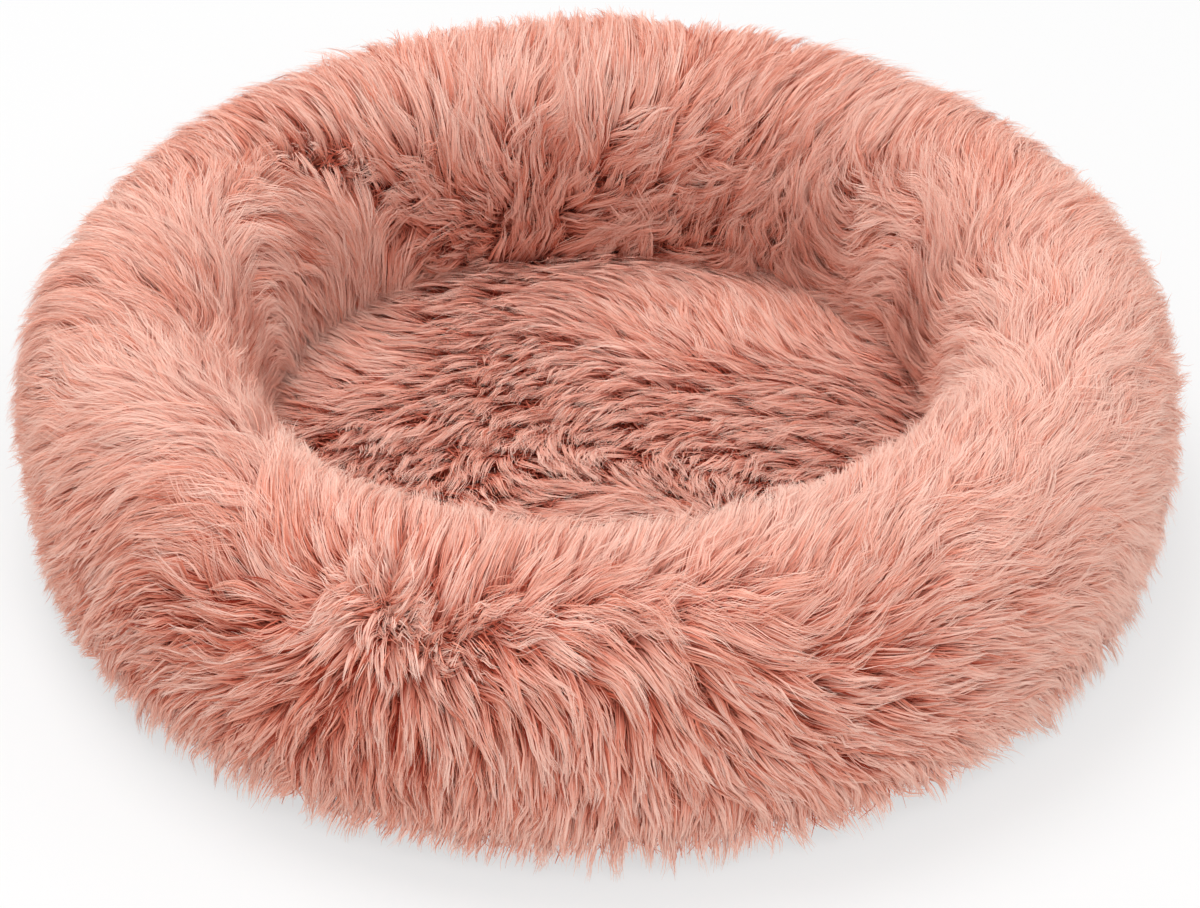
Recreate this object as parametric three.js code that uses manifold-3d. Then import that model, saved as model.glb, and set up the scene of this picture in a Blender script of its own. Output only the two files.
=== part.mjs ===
import * as THREE from 'three';
import { mergeVertices } from 'three/addons/utils/BufferGeometryUtils.js';
import Module from 'manifold-3d';

// Donut pet bed: a stuffed plush ring round a lower plush centre, on a woven base that opens at a zip.
// Lengths are in millimetres. +Z is up, +X is right, and the front is at -Y.
// The origin is the middle of the bed on the surface that it stands on.

const wasm = await Module();
wasm.setup();

// The bed, measured to the middle of its pile
const bedRadius = 245;
const bedHeight = 128;
const hollowRadius = 147;
const ringCentreHeight = 59;
const pileDepth = 14;
const crownRise = 16;

// Roundness of the ring's section: 1 is an ellipse, and less is squarer
const upperRoundShare = 0.86;
const lowerRoundShare = 0.667;

// Weight presses the ring's underside flat by this much
const groundPress = 4;

// Seams
const innerSeamHeight = 42;
const baseSeamHeight = 20;
const pileLipHeight = 6;
const threadDiameter = 0.6;
const clearance = 0.3;
const crossSeamDraw = 4;
const crossSeamReach = 27;
const crossSeamStart = 12;
const crossSeamDepth = 3;
const bindingWidth = 12;
const bindingThickness = 0.8;

// Cloth
const clothThickness = 1;
const linerThickness = 1;

// Base
const contactMargin = 10;
const recessSlopeRun = 25;
const floorClearance = 2;

// Inserts
const cushionCorner = 8;
const cushionInset = 1.2;
const ringSlitHeight = 20;

// Zip
const tapeWidth = 13;
const tapeThickness = 0.6;
const tapeEnd = 7;
const tapeMargin = 5;
const coilWidth = 2.25;
const coilHeight = 1.8;
const stopLength = 3;
const stopSpread = 0.4;
const runningClearance = 0.35;
const slotMargin = 1.5;
const stitchInset = 3;

// Slider
const sliderLength = 12;
const sliderPlate = 1.3;
const sliderTopPlate = 0.9;
const flangeThickness = 1.2;
const webThickness = 0.8;
const webLength = 3.5;
const webSetback = 1.5;
const noseTaper = 1.6;
const bridgeLength = 6;
const bridgeThickness = 0.9;
const bridgeWidth = 2;
const bridgeOpening = 2.3;

// Pull tab
const tabLength = 24;
const tabThickness = 1.2;
const tabEyeWidth = 6.4;
const tabWaistWidth = 4.6;
const tabGripWidth = 7;
const tabEyeLength = 3.6;
const tabEyeGap = 0.5;
const tabCorner = 1.4;
const tabWindowLength = 6;
const tabWindowWidth = 2.6;
const tabWindowInset = 3.2;

// Label
const labelWidth = 24;
const labelDepth = 26;
const labelThickness = 0.3;
const labelFold = 0.4;
const labelOffset = 60;

// Facets
const fullTurn = 2 * Math.PI;
const turnSteps = 48;
const slitStartStep = 11;
const slitEndStep = 17;
const azimuthStep = fullTurn / turnSteps;
const halfTurnSteps = turnSteps / 2;
const skinSteps = 20;
const backingSteps = 15;
const insertSteps = 12;
const rimSteps = 4;
const slopeSteps = 5;
const crownSteps = 5;
const cornerSteps = 2;
const threadSides = 5;
const cutOverrun = 5;

// The two cross seams lie opposite each other: the first shows as a crease at the bed's rear left
const crossSeamAzimuth = THREE.MathUtils.degToRad(165);

const ringRadius = (bedRadius + hollowRadius) / 2;
const ringHalfWidth = (bedRadius - hollowRadius) / 2;
const threadRadius = threadDiameter / 2;
const seamGap = threadDiameter + 2 * clearance;
const backing = pileDepth;
const rimInside = backing + clothThickness;
const bindingInset = rimInside + clearance;
const insertInset = bindingInset + bindingThickness + clearance;

// Heights of the zip's pieces, from the lowest up to the underside of the base's raised middle
const bridgeLow = floorClearance;
const bridgeInside = bridgeLow + bridgeThickness;
const plateLow = bridgeInside + bridgeOpening;
const plateHigh = plateLow + sliderPlate;
const coilLow = plateHigh + clearance;
const coilHigh = coilLow + coilHeight;
const tapeLow = coilHigh + clearance;
const tapeHigh = tapeLow + tapeThickness;
const recessHeight = tapeHigh + clearance;
const insertFloor = recessHeight + Math.max(clothThickness, sliderTopPlate) + clearance;

// Distances of the zip's pieces from its middle line
const coilInner = webThickness / 2 + runningClearance;
const coilOuter = coilInner + coilWidth;
const flangeInner = coilOuter + clearance;
const flangeOuter = flangeInner + flangeThickness;
const slotHalfWidth = flangeOuter + slotMargin;
const tapeOuter = coilInner + tapeWidth;
const stitchLine = slotHalfWidth + stitchInset;

function material(colour, roughness, metalness = 0) {
  return new THREE.MeshStandardMaterial({ color: colour, roughness, metalness });
}

const finish = {
  plush: () => material(0xe3a595, 0.95),
  base: () => material(0x8f6a62, 0.85),
  liner: () => material(0xf1eeea, 0.9),
  fibre: () => material(0xfafafa, 1),
  thread: () => material(0xd08f80, 0.8),
  binding: () => material(0xb9877c, 0.85),
  tape: () => material(0xc98c7f, 0.85),
  coil: () => material(0xd39a8c, 0.45),
  metal: () => material(0xb8b9bc, 0.3, 1),
  label: () => material(0xf6f3ee, 0.5),
};

const bed = new THREE.Group();

function addPiece(name, geometry, pieceMaterial) {
  const piece = new THREE.Mesh(geometry, pieceMaterial);
  piece.name = name;
  bed.add(piece);
  return piece;
}

// Solids and cuts

function toSolid(geometry) {
  const bare = geometry.clone();
  bare.deleteAttribute('normal');
  bare.deleteAttribute('uv');
  const merged = mergeVertices(bare);
  const corners = merged.index.array;
  const faces = [];
  for (let i = 0; i < corners.length; i += 3) {
    const [a, b, c] = corners.slice(i, i + 3);
    if (a !== b && b !== c && c !== a) {
      faces.push(a, b, c);
    }
  }
  const mesh = new wasm.Mesh({
    numProp: 3,
    vertProperties: new Float32Array(merged.attributes.position.array),
    triVerts: new Uint32Array(faces),
  });
  return new wasm.Manifold(mesh);
}

function toGeometry(solid) {
  const mesh = solid.getMesh();
  const geometry = new THREE.BufferGeometry();
  geometry.setAttribute('position', new THREE.BufferAttribute(mesh.vertProperties, 3));
  geometry.setIndex(new THREE.BufferAttribute(mesh.triVerts, 1));
  geometry.computeVertexNormals();
  return geometry;
}

function boxBetween(low, high) {
  const size = new THREE.Vector3().subVectors(high, low);
  const geometry = new THREE.BoxGeometry(size.x, size.y, size.z);
  const middle = new THREE.Vector3().addVectors(low, high).multiplyScalar(0.5);
  return geometry.translate(middle.x, middle.y, middle.z);
}

function box(x0, y0, z0, x1, y1, z1) {
  return boxBetween(new THREE.Vector3(x0, y0, z0), new THREE.Vector3(x1, y1, z1));
}

// Joins rings of points into one solid. Each ring turns left-handed about the way that the rings follow.
function loft(rings, closed) {
  const count = rings[0].length;
  const positions = rings.flat().flatMap((point) => point.toArray());
  const faces = [];
  const last = closed ? rings.length : rings.length - 1;
  for (let i = 0; i < last; i += 1) {
    const near = i * count;
    const far = ((i + 1) % rings.length) * count;
    for (let j = 0; j < count; j += 1) {
      const k = (j + 1) % count;
      faces.push(near + j, far + j, far + k);
      faces.push(near + j, far + k, near + k);
    }
  }
  if (!closed) {
    const end = (rings.length - 1) * count;
    const startCap = capFaces(rings[0]);
    const endCap = capFaces(rings[rings.length - 1]);
    startCap.forEach(([a, b, c]) => faces.push(a, b, c));
    endCap.forEach(([a, b, c]) => faces.push(end + a, end + c, end + b));
  }
  const geometry = new THREE.BufferGeometry();
  geometry.setAttribute('position', new THREE.Float32BufferAttribute(positions, 3));
  geometry.setIndex(faces);
  geometry.computeVertexNormals();
  return geometry;
}

// Triangles of a flat ring of points, turned the way that the ring runs
function capFaces(ring) {
  const normal = new THREE.Vector3();
  ring.forEach((point, i) => normal.add(point.clone().cross(ring[(i + 1) % ring.length])));
  normal.normalize();
  const across = new THREE.Vector3().subVectors(ring[1], ring[0]).normalize();
  const along = new THREE.Vector3().crossVectors(normal, across);
  const flat = ring.map((point) => new THREE.Vector2(point.dot(across), point.dot(along)));
  return THREE.ShapeUtils.triangulateShape(flat, []);
}

function pointAt(radius, height, azimuth) {
  return new THREE.Vector3(radius * Math.cos(azimuth), radius * Math.sin(azimuth), height);
}

// Sweeps a section of [radius, height] points about the bed's axis
function swept(section, azimuths, closed, drawn) {
  const rings = azimuths.map((azimuth) => section.map((point) => {
    const [radius, height] = drawn ? drawnIn(point, azimuth) : point;
    return pointAt(radius, height, azimuth);
  }));
  return loft(rings, closed);
}

// Turns an outline of [radius, height] points, from the axis round to the axis, into a solid
function turned(outline) {
  const points = outline.map(([radius, height]) => new THREE.Vector2(radius, height));
  const geometry = new THREE.LatheGeometry(points, turnSteps);
  return geometry.rotateX(Math.PI / 2).rotateZ(crossSeamAzimuth);
}

function steps(count) {
  return Array.from({ length: count + 1 }, (_, i) => i / count);
}

const wholeTurn = steps(turnSteps).slice(0, turnSteps).map((share) => crossSeamAzimuth + share * fullTurn);

function roundSection(radius, height, sectionRadius) {
  return steps(threadSides).slice(0, threadSides).map((share) => [
    radius + sectionRadius * Math.cos(share * fullTurn),
    height + sectionRadius * Math.sin(share * fullTurn),
  ]);
}

// A thread along points that lie in one plane
function threadAlong(points, planeNormal) {
  const rings = points.map((point, i) => {
    const before = points[Math.max(i - 1, 0)];
    const after = points[Math.min(i + 1, points.length - 1)];
    const tangent = new THREE.Vector3().subVectors(after, before).normalize();
    const side = new THREE.Vector3().crossVectors(planeNormal, tangent);
    return steps(threadSides).slice(0, threadSides).map((share) => {
      const angle = share * fullTurn;
      const corner = point.clone().addScaledVector(side, threadRadius * Math.cos(angle));
      return corner.addScaledVector(planeNormal, -threadRadius * Math.sin(angle));
    });
  });
  return loft(rings, false);
}

// The ring's section. Angle 0 faces away from the bed's axis, and a quarter turn faces up.

function halfHeightAt(rise, inset) {
  if (rise > 0) {
    return bedHeight - ringCentreHeight - inset;
  }
  return ringCentreHeight + groundPress + pileDepth - inset;
}

function ringPoint(inset, angle, lowest = 0) {
  const across = Math.cos(angle);
  const rise = Math.sin(angle);
  const roundShare = rise > 0 ? upperRoundShare : lowerRoundShare;
  const outward = Math.sign(across) * Math.abs(across) ** roundShare;
  const upward = Math.sign(rise) * Math.abs(rise) ** roundShare;
  const radius = ringRadius + (ringHalfWidth - inset) * outward;
  const height = ringCentreHeight + halfHeightAt(rise, inset) * upward;
  return [radius, Math.max(height, lowest)];
}

function outerAngle(inset, height) {
  const rise = (height - ringCentreHeight) / halfHeightAt(height - ringCentreHeight, inset);
  const roundShare = rise > 0 ? upperRoundShare : lowerRoundShare;
  return Math.sign(rise) * Math.asin(Math.abs(rise) ** (1 / roundShare));
}

function innerAngle(inset, height) {
  return Math.PI - outerAngle(inset, height);
}

function ringArc(inset, from, to, count, lowest) {
  return steps(count).map((share) => ringPoint(inset, from + share * (to - from), lowest));
}

// Each cross seam draws the stuffed ring in towards the middle of its section, above the inner seam
function drawnIn([radius, height], azimuth) {
  let pull = 0;
  for (const seam of [crossSeamAzimuth, crossSeamAzimuth + Math.PI]) {
    const away = Math.abs(Math.sin((azimuth - seam) / 2)) * 2 * ringRadius;
    pull += Math.exp(-((away / crossSeamReach) ** 2));
  }
  const start = innerSeamHeight + crossSeamStart;
  const reached = THREE.MathUtils.smoothstep(height, start, ringCentreHeight + crossSeamReach);
  const keep = 1 - (crossSeamDraw / (bedHeight - ringCentreHeight)) * pull * reached;
  return [ringRadius + (radius - ringRadius) * keep, ringCentreHeight + (height - ringCentreHeight) * keep];
}

// Plush cover

function coverSection() {
  const lipHigh = baseSeamHeight + seamGap / 2;
  const lipLow = innerSeamHeight + seamGap / 2;
  const skin = ringArc(0, outerAngle(0, pileLipHeight), innerAngle(0, lipLow), skinSteps);
  const inside = ringArc(backing, innerAngle(backing, lipLow), outerAngle(backing, lipHigh), backingSteps);
  return [...skin, ...inside];
}

function coverPanel(startAzimuth) {
  const seamHalfAngle = seamGap / 2 / ringRadius;
  const azimuths = steps(halfTurnSteps).map((share) => startAzimuth + share * halfTurnSteps * azimuthStep);
  azimuths[0] += seamHalfAngle;
  azimuths[halfTurnSteps] -= seamHalfAngle;
  return swept(coverSection(), azimuths, false, true);
}

function crossSeam(azimuth) {
  const inset = backing - crossSeamDepth;
  const from = outerAngle(inset, baseSeamHeight + seamGap);
  const to = innerAngle(inset, innerSeamHeight + seamGap);
  const points = ringArc(inset, from, to, backingSteps).map((point) => {
    const [radius, height] = drawnIn(point, azimuth);
    return pointAt(radius, height, azimuth);
  });
  return threadAlong(points, pointAt(1, 0, azimuth + Math.PI / 2));
}

// The centre panel's upper surface, crowned inside the ring's pile and level under its lip
function centreTop(radius) {
  const level = innerSeamHeight - seamGap / 2;
  const inward = Math.min(radius / hollowRadius, 1);
  return level + crownRise * (1 - inward ** 2);
}

const centreRadius = ringPoint(backing, innerAngle(backing, innerSeamHeight))[0];

function crownLine(outerRadius, drop) {
  const reach = Math.min(hollowRadius, outerRadius);
  return steps(crownSteps).map((share) => [reach * (1 - share), centreTop(reach * (1 - share)) - drop]);
}

function centreOutline() {
  const under = crownLine(centreRadius, pileDepth).reverse();
  const over = crownLine(centreRadius, 0);
  const edgeLow = [centreRadius, centreTop(centreRadius) - pileDepth];
  const edgeHigh = [centreRadius, centreTop(centreRadius)];
  return [...under, edgeLow, edgeHigh, ...over];
}

// Woven base: the middle stands clear of the floor, the ring's part lies on it, and the rim turns up

const contactInnerRadius = ringPoint(backing, innerAngle(backing, 0))[0] - contactMargin;
const recessRadius = contactInnerRadius - recessSlopeRun;

function baseLine(thickness) {
  const slope = steps(slopeSteps).map((share) => [
    recessRadius + share * recessSlopeRun,
    thickness + recessHeight * (1 + Math.cos(share * Math.PI)) / 2,
  ]);
  const inset = backing + thickness;
  const rimHigh = baseSeamHeight - seamGap / 2;
  const rim = ringArc(inset, outerAngle(inset, thickness), outerAngle(inset, rimHigh), rimSteps, thickness);
  return [[0, recessHeight + thickness], ...slope, ...rim];
}

function baseHalf(side) {
  const whole = toSolid(turned([...baseLine(0), ...baseLine(clothThickness).reverse()]));
  const reach = bedRadius + cutOverrun;
  const near = side * seamGap / 2;
  const far = side * reach;
  const half = box(-reach, Math.min(near, far), -cutOverrun, reach, Math.max(near, far), bedHeight);
  const slot = box(-slotHalfLength, -slotHalfWidth, -cutOverrun, slotHalfLength, slotHalfWidth, bedHeight);
  return toGeometry(whole.intersect(toSolid(half)).subtract(toSolid(slot)));
}

function baseEndSeam(side) {
  const lift = clothThickness / 2;
  const start = [side * (tapeHalfLength + seamGap), recessHeight + lift];
  const line = baseLine(lift).slice(1, -1).map(([radius, height]) => [side * radius, height]);
  const points = [start, ...line].map(([x, z]) => new THREE.Vector3(x, 0, z));
  return threadAlong(points, new THREE.Vector3(0, 1, 0));
}

function bindingSection() {
  const low = baseSeamHeight - bindingWidth / 2;
  const high = baseSeamHeight + bindingWidth / 2;
  const outside = bindingInset;
  const inside = bindingInset + bindingThickness;
  const outer = ringArc(outside, outerAngle(outside, low), outerAngle(outside, high), 2);
  const inner = ringArc(inside, outerAngle(inside, high), outerAngle(inside, low), 2);
  return [...outer, ...inner];
}

// Inserts: each is a bag with a stitched slit, filled with fibre

function slitAzimuths(endMargin) {
  const azimuths = [];
  for (let step = slitStartStep; step <= slitEndStep; step += 1) {
    azimuths.push(crossSeamAzimuth + step * azimuthStep);
  }
  azimuths[0] += endMargin;
  azimuths[azimuths.length - 1] -= endMargin;
  return azimuths;
}

function slitCut(radius, height, reach) {
  const section = [
    [radius - reach, height - seamGap / 2],
    [radius + reach, height - seamGap / 2],
    [radius + reach, height + seamGap / 2],
    [radius - reach, height + seamGap / 2],
  ];
  return toSolid(swept(section, slitAzimuths(0), false, false));
}

function slitStitch(radius, height) {
  const azimuths = slitAzimuths(seamGap / radius);
  return swept(roundSection(radius, height, threadRadius), azimuths, false, false);
}

function ringInsert(extra) {
  const inset = insertInset + extra;
  const lowest = clothThickness + clearance + extra;
  const section = ringArc(inset, 0, fullTurn, insertSteps, lowest).slice(0, insertSteps);
  return swept(section, wholeTurn, true, true);
}

const ringSlitInset = insertInset + linerThickness / 2;
const ringSlitRadius = ringPoint(ringSlitInset, innerAngle(ringSlitInset, ringSlitHeight))[0];

function cushionOutline(extra) {
  const outer = centreRadius - cushionInset;
  const turn = cushionCorner - extra;
  const hub = outer - cushionCorner;
  const drop = pileDepth + clearance + extra;
  const low = insertFloor + extra;
  const high = centreTop(centreRadius) - drop;
  const lower = steps(cornerSteps).map((share) => {
    const angle = (share - 1) * Math.PI / 2;
    return [hub + turn * Math.cos(angle), low + turn + turn * Math.sin(angle)];
  });
  const upper = steps(cornerSteps).map((share) => {
    const angle = share * Math.PI / 2;
    return [hub + turn * Math.cos(angle), high - turn + turn * Math.sin(angle)];
  });
  return [[0, low], ...lower, ...upper, ...crownLine(hub, drop)];
}

const cushionSlitRadius = centreRadius - cushionInset - linerThickness / 2;
const cushionSlitHeight = (insertFloor + centreTop(centreRadius) - pileDepth - clearance) / 2;

// Zip

const tapeHalfLength = recessRadius - tapeMargin;
const chainHalfLength = tapeHalfLength - tapeEnd;
const slotHalfLength = chainHalfLength + 2 * clearance + stopLength;

function tape(side) {
  const inner = side * coilInner;
  const outer = side * tapeOuter;
  return box(-tapeHalfLength, Math.min(inner, outer), tapeLow, tapeHalfLength, Math.max(inner, outer), tapeHigh);
}

function coil(side) {
  const inner = side * coilInner;
  const outer = side * coilOuter;
  return box(-chainHalfLength, Math.min(inner, outer), coilLow, chainHalfLength, Math.max(inner, outer), coilHigh);
}

function topStop(side) {
  const inner = side * coilInner;
  const outer = side * (coilOuter + stopSpread);
  const start = chainHalfLength + clearance;
  return box(start, Math.min(inner, outer), coilLow, start + stopLength, Math.max(inner, outer), coilHigh);
}

function bottomStop() {
  const outer = coilOuter + stopSpread;
  const start = chainHalfLength + clearance;
  return box(-start - stopLength, -outer, coilLow, -start, outer, coilHigh);
}

function zipStitch(side) {
  const reach = tapeHalfLength - stopLength;
  const height = tapeLow - clearance - threadRadius;
  const ends = [-reach, reach].map((x) => new THREE.Vector3(x, side * stitchLine, height));
  return threadAlong(ends, new THREE.Vector3(0, 1, 0));
}

// The slider, built about its middle, with its nose at +X
function sliderPlateOutline(halfWidth) {
  const half = sliderLength / 2;
  const shape = new THREE.Shape();
  shape.moveTo(-half, -halfWidth + noseTaper / 2);
  shape.lineTo(-half + noseTaper, -halfWidth);
  shape.lineTo(half - noseTaper, -halfWidth);
  shape.lineTo(half, -halfWidth + noseTaper);
  shape.lineTo(half, halfWidth - noseTaper);
  shape.lineTo(half - noseTaper, halfWidth);
  shape.lineTo(-half + noseTaper, halfWidth);
  shape.lineTo(-half, halfWidth - noseTaper / 2);
  shape.closePath();
  return shape;
}

function plate(low, thickness) {
  const geometry = new THREE.ExtrudeGeometry(sliderPlateOutline(flangeOuter), {
    depth: thickness,
    bevelEnabled: false,
  });
  return toSolid(geometry.translate(0, 0, low));
}

// The bridge is an arch under the plate that the pull tab's bar hangs in
function bridge() {
  const half = bridgeLength / 2;
  const drop = bridgeOpening + bridgeThickness;
  const shape = new THREE.Shape();
  shape.moveTo(-half, sliderPlate / 2);
  shape.lineTo(-half, bridgeThickness - drop);
  shape.lineTo(-half + bridgeThickness, -drop);
  shape.lineTo(half - bridgeThickness, -drop);
  shape.lineTo(half, bridgeThickness - drop);
  shape.lineTo(half, sliderPlate / 2);
  shape.lineTo(half - bridgeThickness, sliderPlate / 2);
  shape.lineTo(half - bridgeThickness, -bridgeOpening);
  shape.lineTo(-half + bridgeThickness, -bridgeOpening);
  shape.lineTo(-half + bridgeThickness, sliderPlate / 2);
  shape.closePath();
  const geometry = new THREE.ExtrudeGeometry(shape, { depth: bridgeWidth, bevelEnabled: false });
  return toSolid(geometry.rotateX(Math.PI / 2).translate(0, bridgeWidth / 2, plateLow));
}

function slider() {
  const half = sliderLength / 2;
  const flangeHigh = tapeLow - clearance;
  const topLow = tapeHigh + clearance;
  const webEnd = half - webSetback;
  let body = plate(plateLow, sliderPlate);
  body = body.add(plate(topLow, sliderTopPlate));
  for (const side of [-1, 1]) {
    const inner = side * flangeInner;
    const outer = side * flangeOuter;
    const reach = half - noseTaper;
    const low = plateLow + sliderPlate / 2;
    const flange = box(-reach, Math.min(inner, outer), low, reach, Math.max(inner, outer), flangeHigh);
    body = body.add(toSolid(flange));
  }
  const webLow = plateLow + sliderPlate / 2;
  const webHigh = topLow + sliderTopPlate / 2;
  const web = box(webEnd - webLength, -webThickness / 2, webLow, webEnd, webThickness / 2, webHigh);
  body = body.add(toSolid(web)).add(bridge());
  return toGeometry(body);
}

function addRounded(path, points, radius) {
  points.forEach((corner, i) => {
    const before = points[(i + points.length - 1) % points.length];
    const after = points[(i + 1) % points.length];
    const enter = corner.clone().addScaledVector(before.clone().sub(corner).normalize(), radius);
    const leave = corner.clone().addScaledVector(after.clone().sub(corner).normalize(), radius);
    if (i === 0) {
      path.moveTo(enter.x, enter.y);
    } else {
      path.lineTo(enter.x, enter.y);
    }
    path.quadraticCurveTo(corner.x, corner.y, leave.x, leave.y);
  });
  path.closePath();
}

// The pull tab, built about its bar, and lying back along -X
function pullTab() {
  const bar = tabThickness / 2;
  const eyeFar = bar + tabEyeLength;
  const eyeEnd = eyeFar + tabThickness;
  const end = tabLength - bar;
  const outline = [
    new THREE.Vector2(bar, -tabEyeWidth / 2),
    new THREE.Vector2(bar, tabEyeWidth / 2),
    new THREE.Vector2(-eyeEnd, tabEyeWidth / 2),
    new THREE.Vector2(-eyeEnd - tabCorner * 2, tabWaistWidth / 2),
    new THREE.Vector2(-end, tabGripWidth / 2),
    new THREE.Vector2(-end, -tabGripWidth / 2),
    new THREE.Vector2(-eyeEnd - tabCorner * 2, -tabWaistWidth / 2),
    new THREE.Vector2(-eyeEnd, -tabEyeWidth / 2),
  ];
  const shape = new THREE.Shape();
  addRounded(shape, outline, bar);
  const eyeHalf = bridgeWidth / 2 + tabEyeGap;
  const eye = new THREE.Path();
  addRounded(eye, [
    new THREE.Vector2(-bar, -eyeHalf),
    new THREE.Vector2(-eyeFar, -eyeHalf),
    new THREE.Vector2(-eyeFar, eyeHalf),
    new THREE.Vector2(-bar, eyeHalf),
  ], bar / 2);
  const window = new THREE.Path();
  const windowFar = end - tabWindowInset;
  const windowNear = windowFar - tabWindowLength;
  addRounded(window, [
    new THREE.Vector2(-windowNear, -tabWindowWidth / 2),
    new THREE.Vector2(-windowFar, -tabWindowWidth / 2),
    new THREE.Vector2(-windowFar, tabWindowWidth / 2),
    new THREE.Vector2(-windowNear, tabWindowWidth / 2),
  ], bar);
  shape.holes.push(eye, window);
  const geometry = new THREE.ExtrudeGeometry(shape, {
    depth: tabThickness,
    bevelEnabled: false,
    curveSegments: cornerSteps,
  });
  return geometry.translate(0, 0, -tabThickness / 2);
}

// A folded satin label, sewn beside the rear tape, with its fold away from the zip
function careLabel() {
  const near = tapeOuter + clearance;
  const far = near + labelDepth;
  const high = recessHeight - clearance;
  const middle = high - labelThickness;
  const low = middle - labelFold - labelThickness;
  const shape = new THREE.Shape();
  shape.moveTo(near, high);
  shape.lineTo(near, middle);
  shape.lineTo(far - labelThickness, middle);
  shape.lineTo(far - labelThickness, middle - labelFold);
  shape.lineTo(near, middle - labelFold);
  shape.lineTo(near, low);
  shape.lineTo(far, low);
  shape.lineTo(far, high);
  shape.closePath();
  const geometry = new THREE.ExtrudeGeometry(shape, { depth: labelWidth, bevelEnabled: false });
  geometry.rotateX(Math.PI / 2).rotateZ(Math.PI / 2);
  return geometry.translate(labelOffset, 0, 0);
}

// Assembly

addPiece('ring_cover_rear', coverPanel(crossSeamAzimuth - Math.PI), finish.plush());
addPiece('ring_cover_front', coverPanel(crossSeamAzimuth), finish.plush());
addPiece('centre_panel', turned(centreOutline()), finish.plush());
addPiece('cross_seam_left', crossSeam(crossSeamAzimuth), finish.thread());
addPiece('cross_seam_right', crossSeam(crossSeamAzimuth - Math.PI), finish.thread());

const innerSeamRadius = centreRadius - crossSeamDepth;
const innerSeam = roundSection(innerSeamRadius, innerSeamHeight, threadRadius);
addPiece('inner_seam_thread', swept(innerSeam, wholeTurn, true, false), finish.thread());

const rimMiddle = backing + clothThickness / 2;
const baseSeamRadius = ringPoint(rimMiddle, outerAngle(rimMiddle, baseSeamHeight))[0];
const baseSeam = roundSection(baseSeamRadius, baseSeamHeight, threadRadius);
addPiece('base_seam_thread', swept(baseSeam, wholeTurn, true, false), finish.thread());
addPiece('base_seam_binding', swept(bindingSection(), wholeTurn, true, false), finish.binding());
addPiece('base_panel_front', baseHalf(-1), finish.base());
addPiece('base_panel_rear', baseHalf(1), finish.base());
addPiece('base_end_seam_right', baseEndSeam(1), finish.thread());
addPiece('base_end_seam_left', baseEndSeam(-1), finish.thread());

const ringLiner = toSolid(ringInsert(0)).subtract(toSolid(ringInsert(linerThickness)));
const ringSlit = slitCut(ringSlitRadius, ringSlitHeight, cutOverrun);
addPiece('ring_insert_liner', toGeometry(ringLiner.subtract(ringSlit)), finish.liner());
addPiece('ring_insert_filling', ringInsert(linerThickness + clearance), finish.fibre());
addPiece('ring_insert_closing_stitch', slitStitch(ringSlitRadius, ringSlitHeight), finish.thread());

const cushionLiner = toSolid(turned(cushionOutline(0))).subtract(toSolid(turned(cushionOutline(linerThickness))));
const cushionSlit = slitCut(cushionSlitRadius, cushionSlitHeight, cutOverrun);
addPiece('cushion_insert_liner', toGeometry(cushionLiner.subtract(cushionSlit)), finish.liner());
addPiece('cushion_insert_filling', turned(cushionOutline(linerThickness + clearance)), finish.fibre());
addPiece('cushion_insert_closing_stitch', slitStitch(cushionSlitRadius, cushionSlitHeight), finish.thread());

addPiece('zip_tape_front', tape(-1), finish.tape());
addPiece('zip_tape_rear', tape(1), finish.tape());
addPiece('zip_coil_front', coil(-1), finish.coil());
addPiece('zip_coil_rear', coil(1), finish.coil());
addPiece('zip_top_stop_front', topStop(-1), finish.metal());
addPiece('zip_top_stop_rear', topStop(1), finish.metal());
addPiece('zip_bottom_stop', bottomStop(), finish.metal());
addPiece('zip_stitch_front', zipStitch(-1), finish.thread());
addPiece('zip_stitch_rear', zipStitch(1), finish.thread());
addPiece('care_label', careLabel(), finish.label());

// The closed zip has its slider's nose at the top stops
const sliderMiddle = chainHalfLength - sliderLength / 2;
const tabBarHeight = bridgeInside + bridgeOpening / 2;
const sliderPiece = addPiece('zip_slider', slider(), finish.metal());
sliderPiece.position.set(sliderMiddle, 0, 0);
const tabPiece = addPiece('zip_pull_tab', pullTab(), finish.metal());
tabPiece.position.set(sliderMiddle, 0, tabBarHeight);

export default bed;
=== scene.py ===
import math

import bpy
import numpy as np
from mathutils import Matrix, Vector


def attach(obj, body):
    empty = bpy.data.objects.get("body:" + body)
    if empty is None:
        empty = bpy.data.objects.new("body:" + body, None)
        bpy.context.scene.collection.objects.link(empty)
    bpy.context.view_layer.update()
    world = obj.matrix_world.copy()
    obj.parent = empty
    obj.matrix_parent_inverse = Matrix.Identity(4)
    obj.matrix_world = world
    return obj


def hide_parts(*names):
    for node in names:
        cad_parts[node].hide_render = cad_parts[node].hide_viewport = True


# Donut pet bed. Lengths are in metres, +Z is up, +X is right and the bed's front is at -Y.

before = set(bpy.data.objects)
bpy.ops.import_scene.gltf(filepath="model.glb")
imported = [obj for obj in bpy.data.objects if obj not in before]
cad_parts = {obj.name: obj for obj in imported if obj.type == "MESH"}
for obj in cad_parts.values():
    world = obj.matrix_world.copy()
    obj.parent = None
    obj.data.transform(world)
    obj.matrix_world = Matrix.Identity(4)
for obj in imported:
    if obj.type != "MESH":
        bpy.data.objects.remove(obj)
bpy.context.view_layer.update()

SEED = 20
rng = np.random.default_rng(SEED)
FULL_TURN = 2 * math.pi

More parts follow.
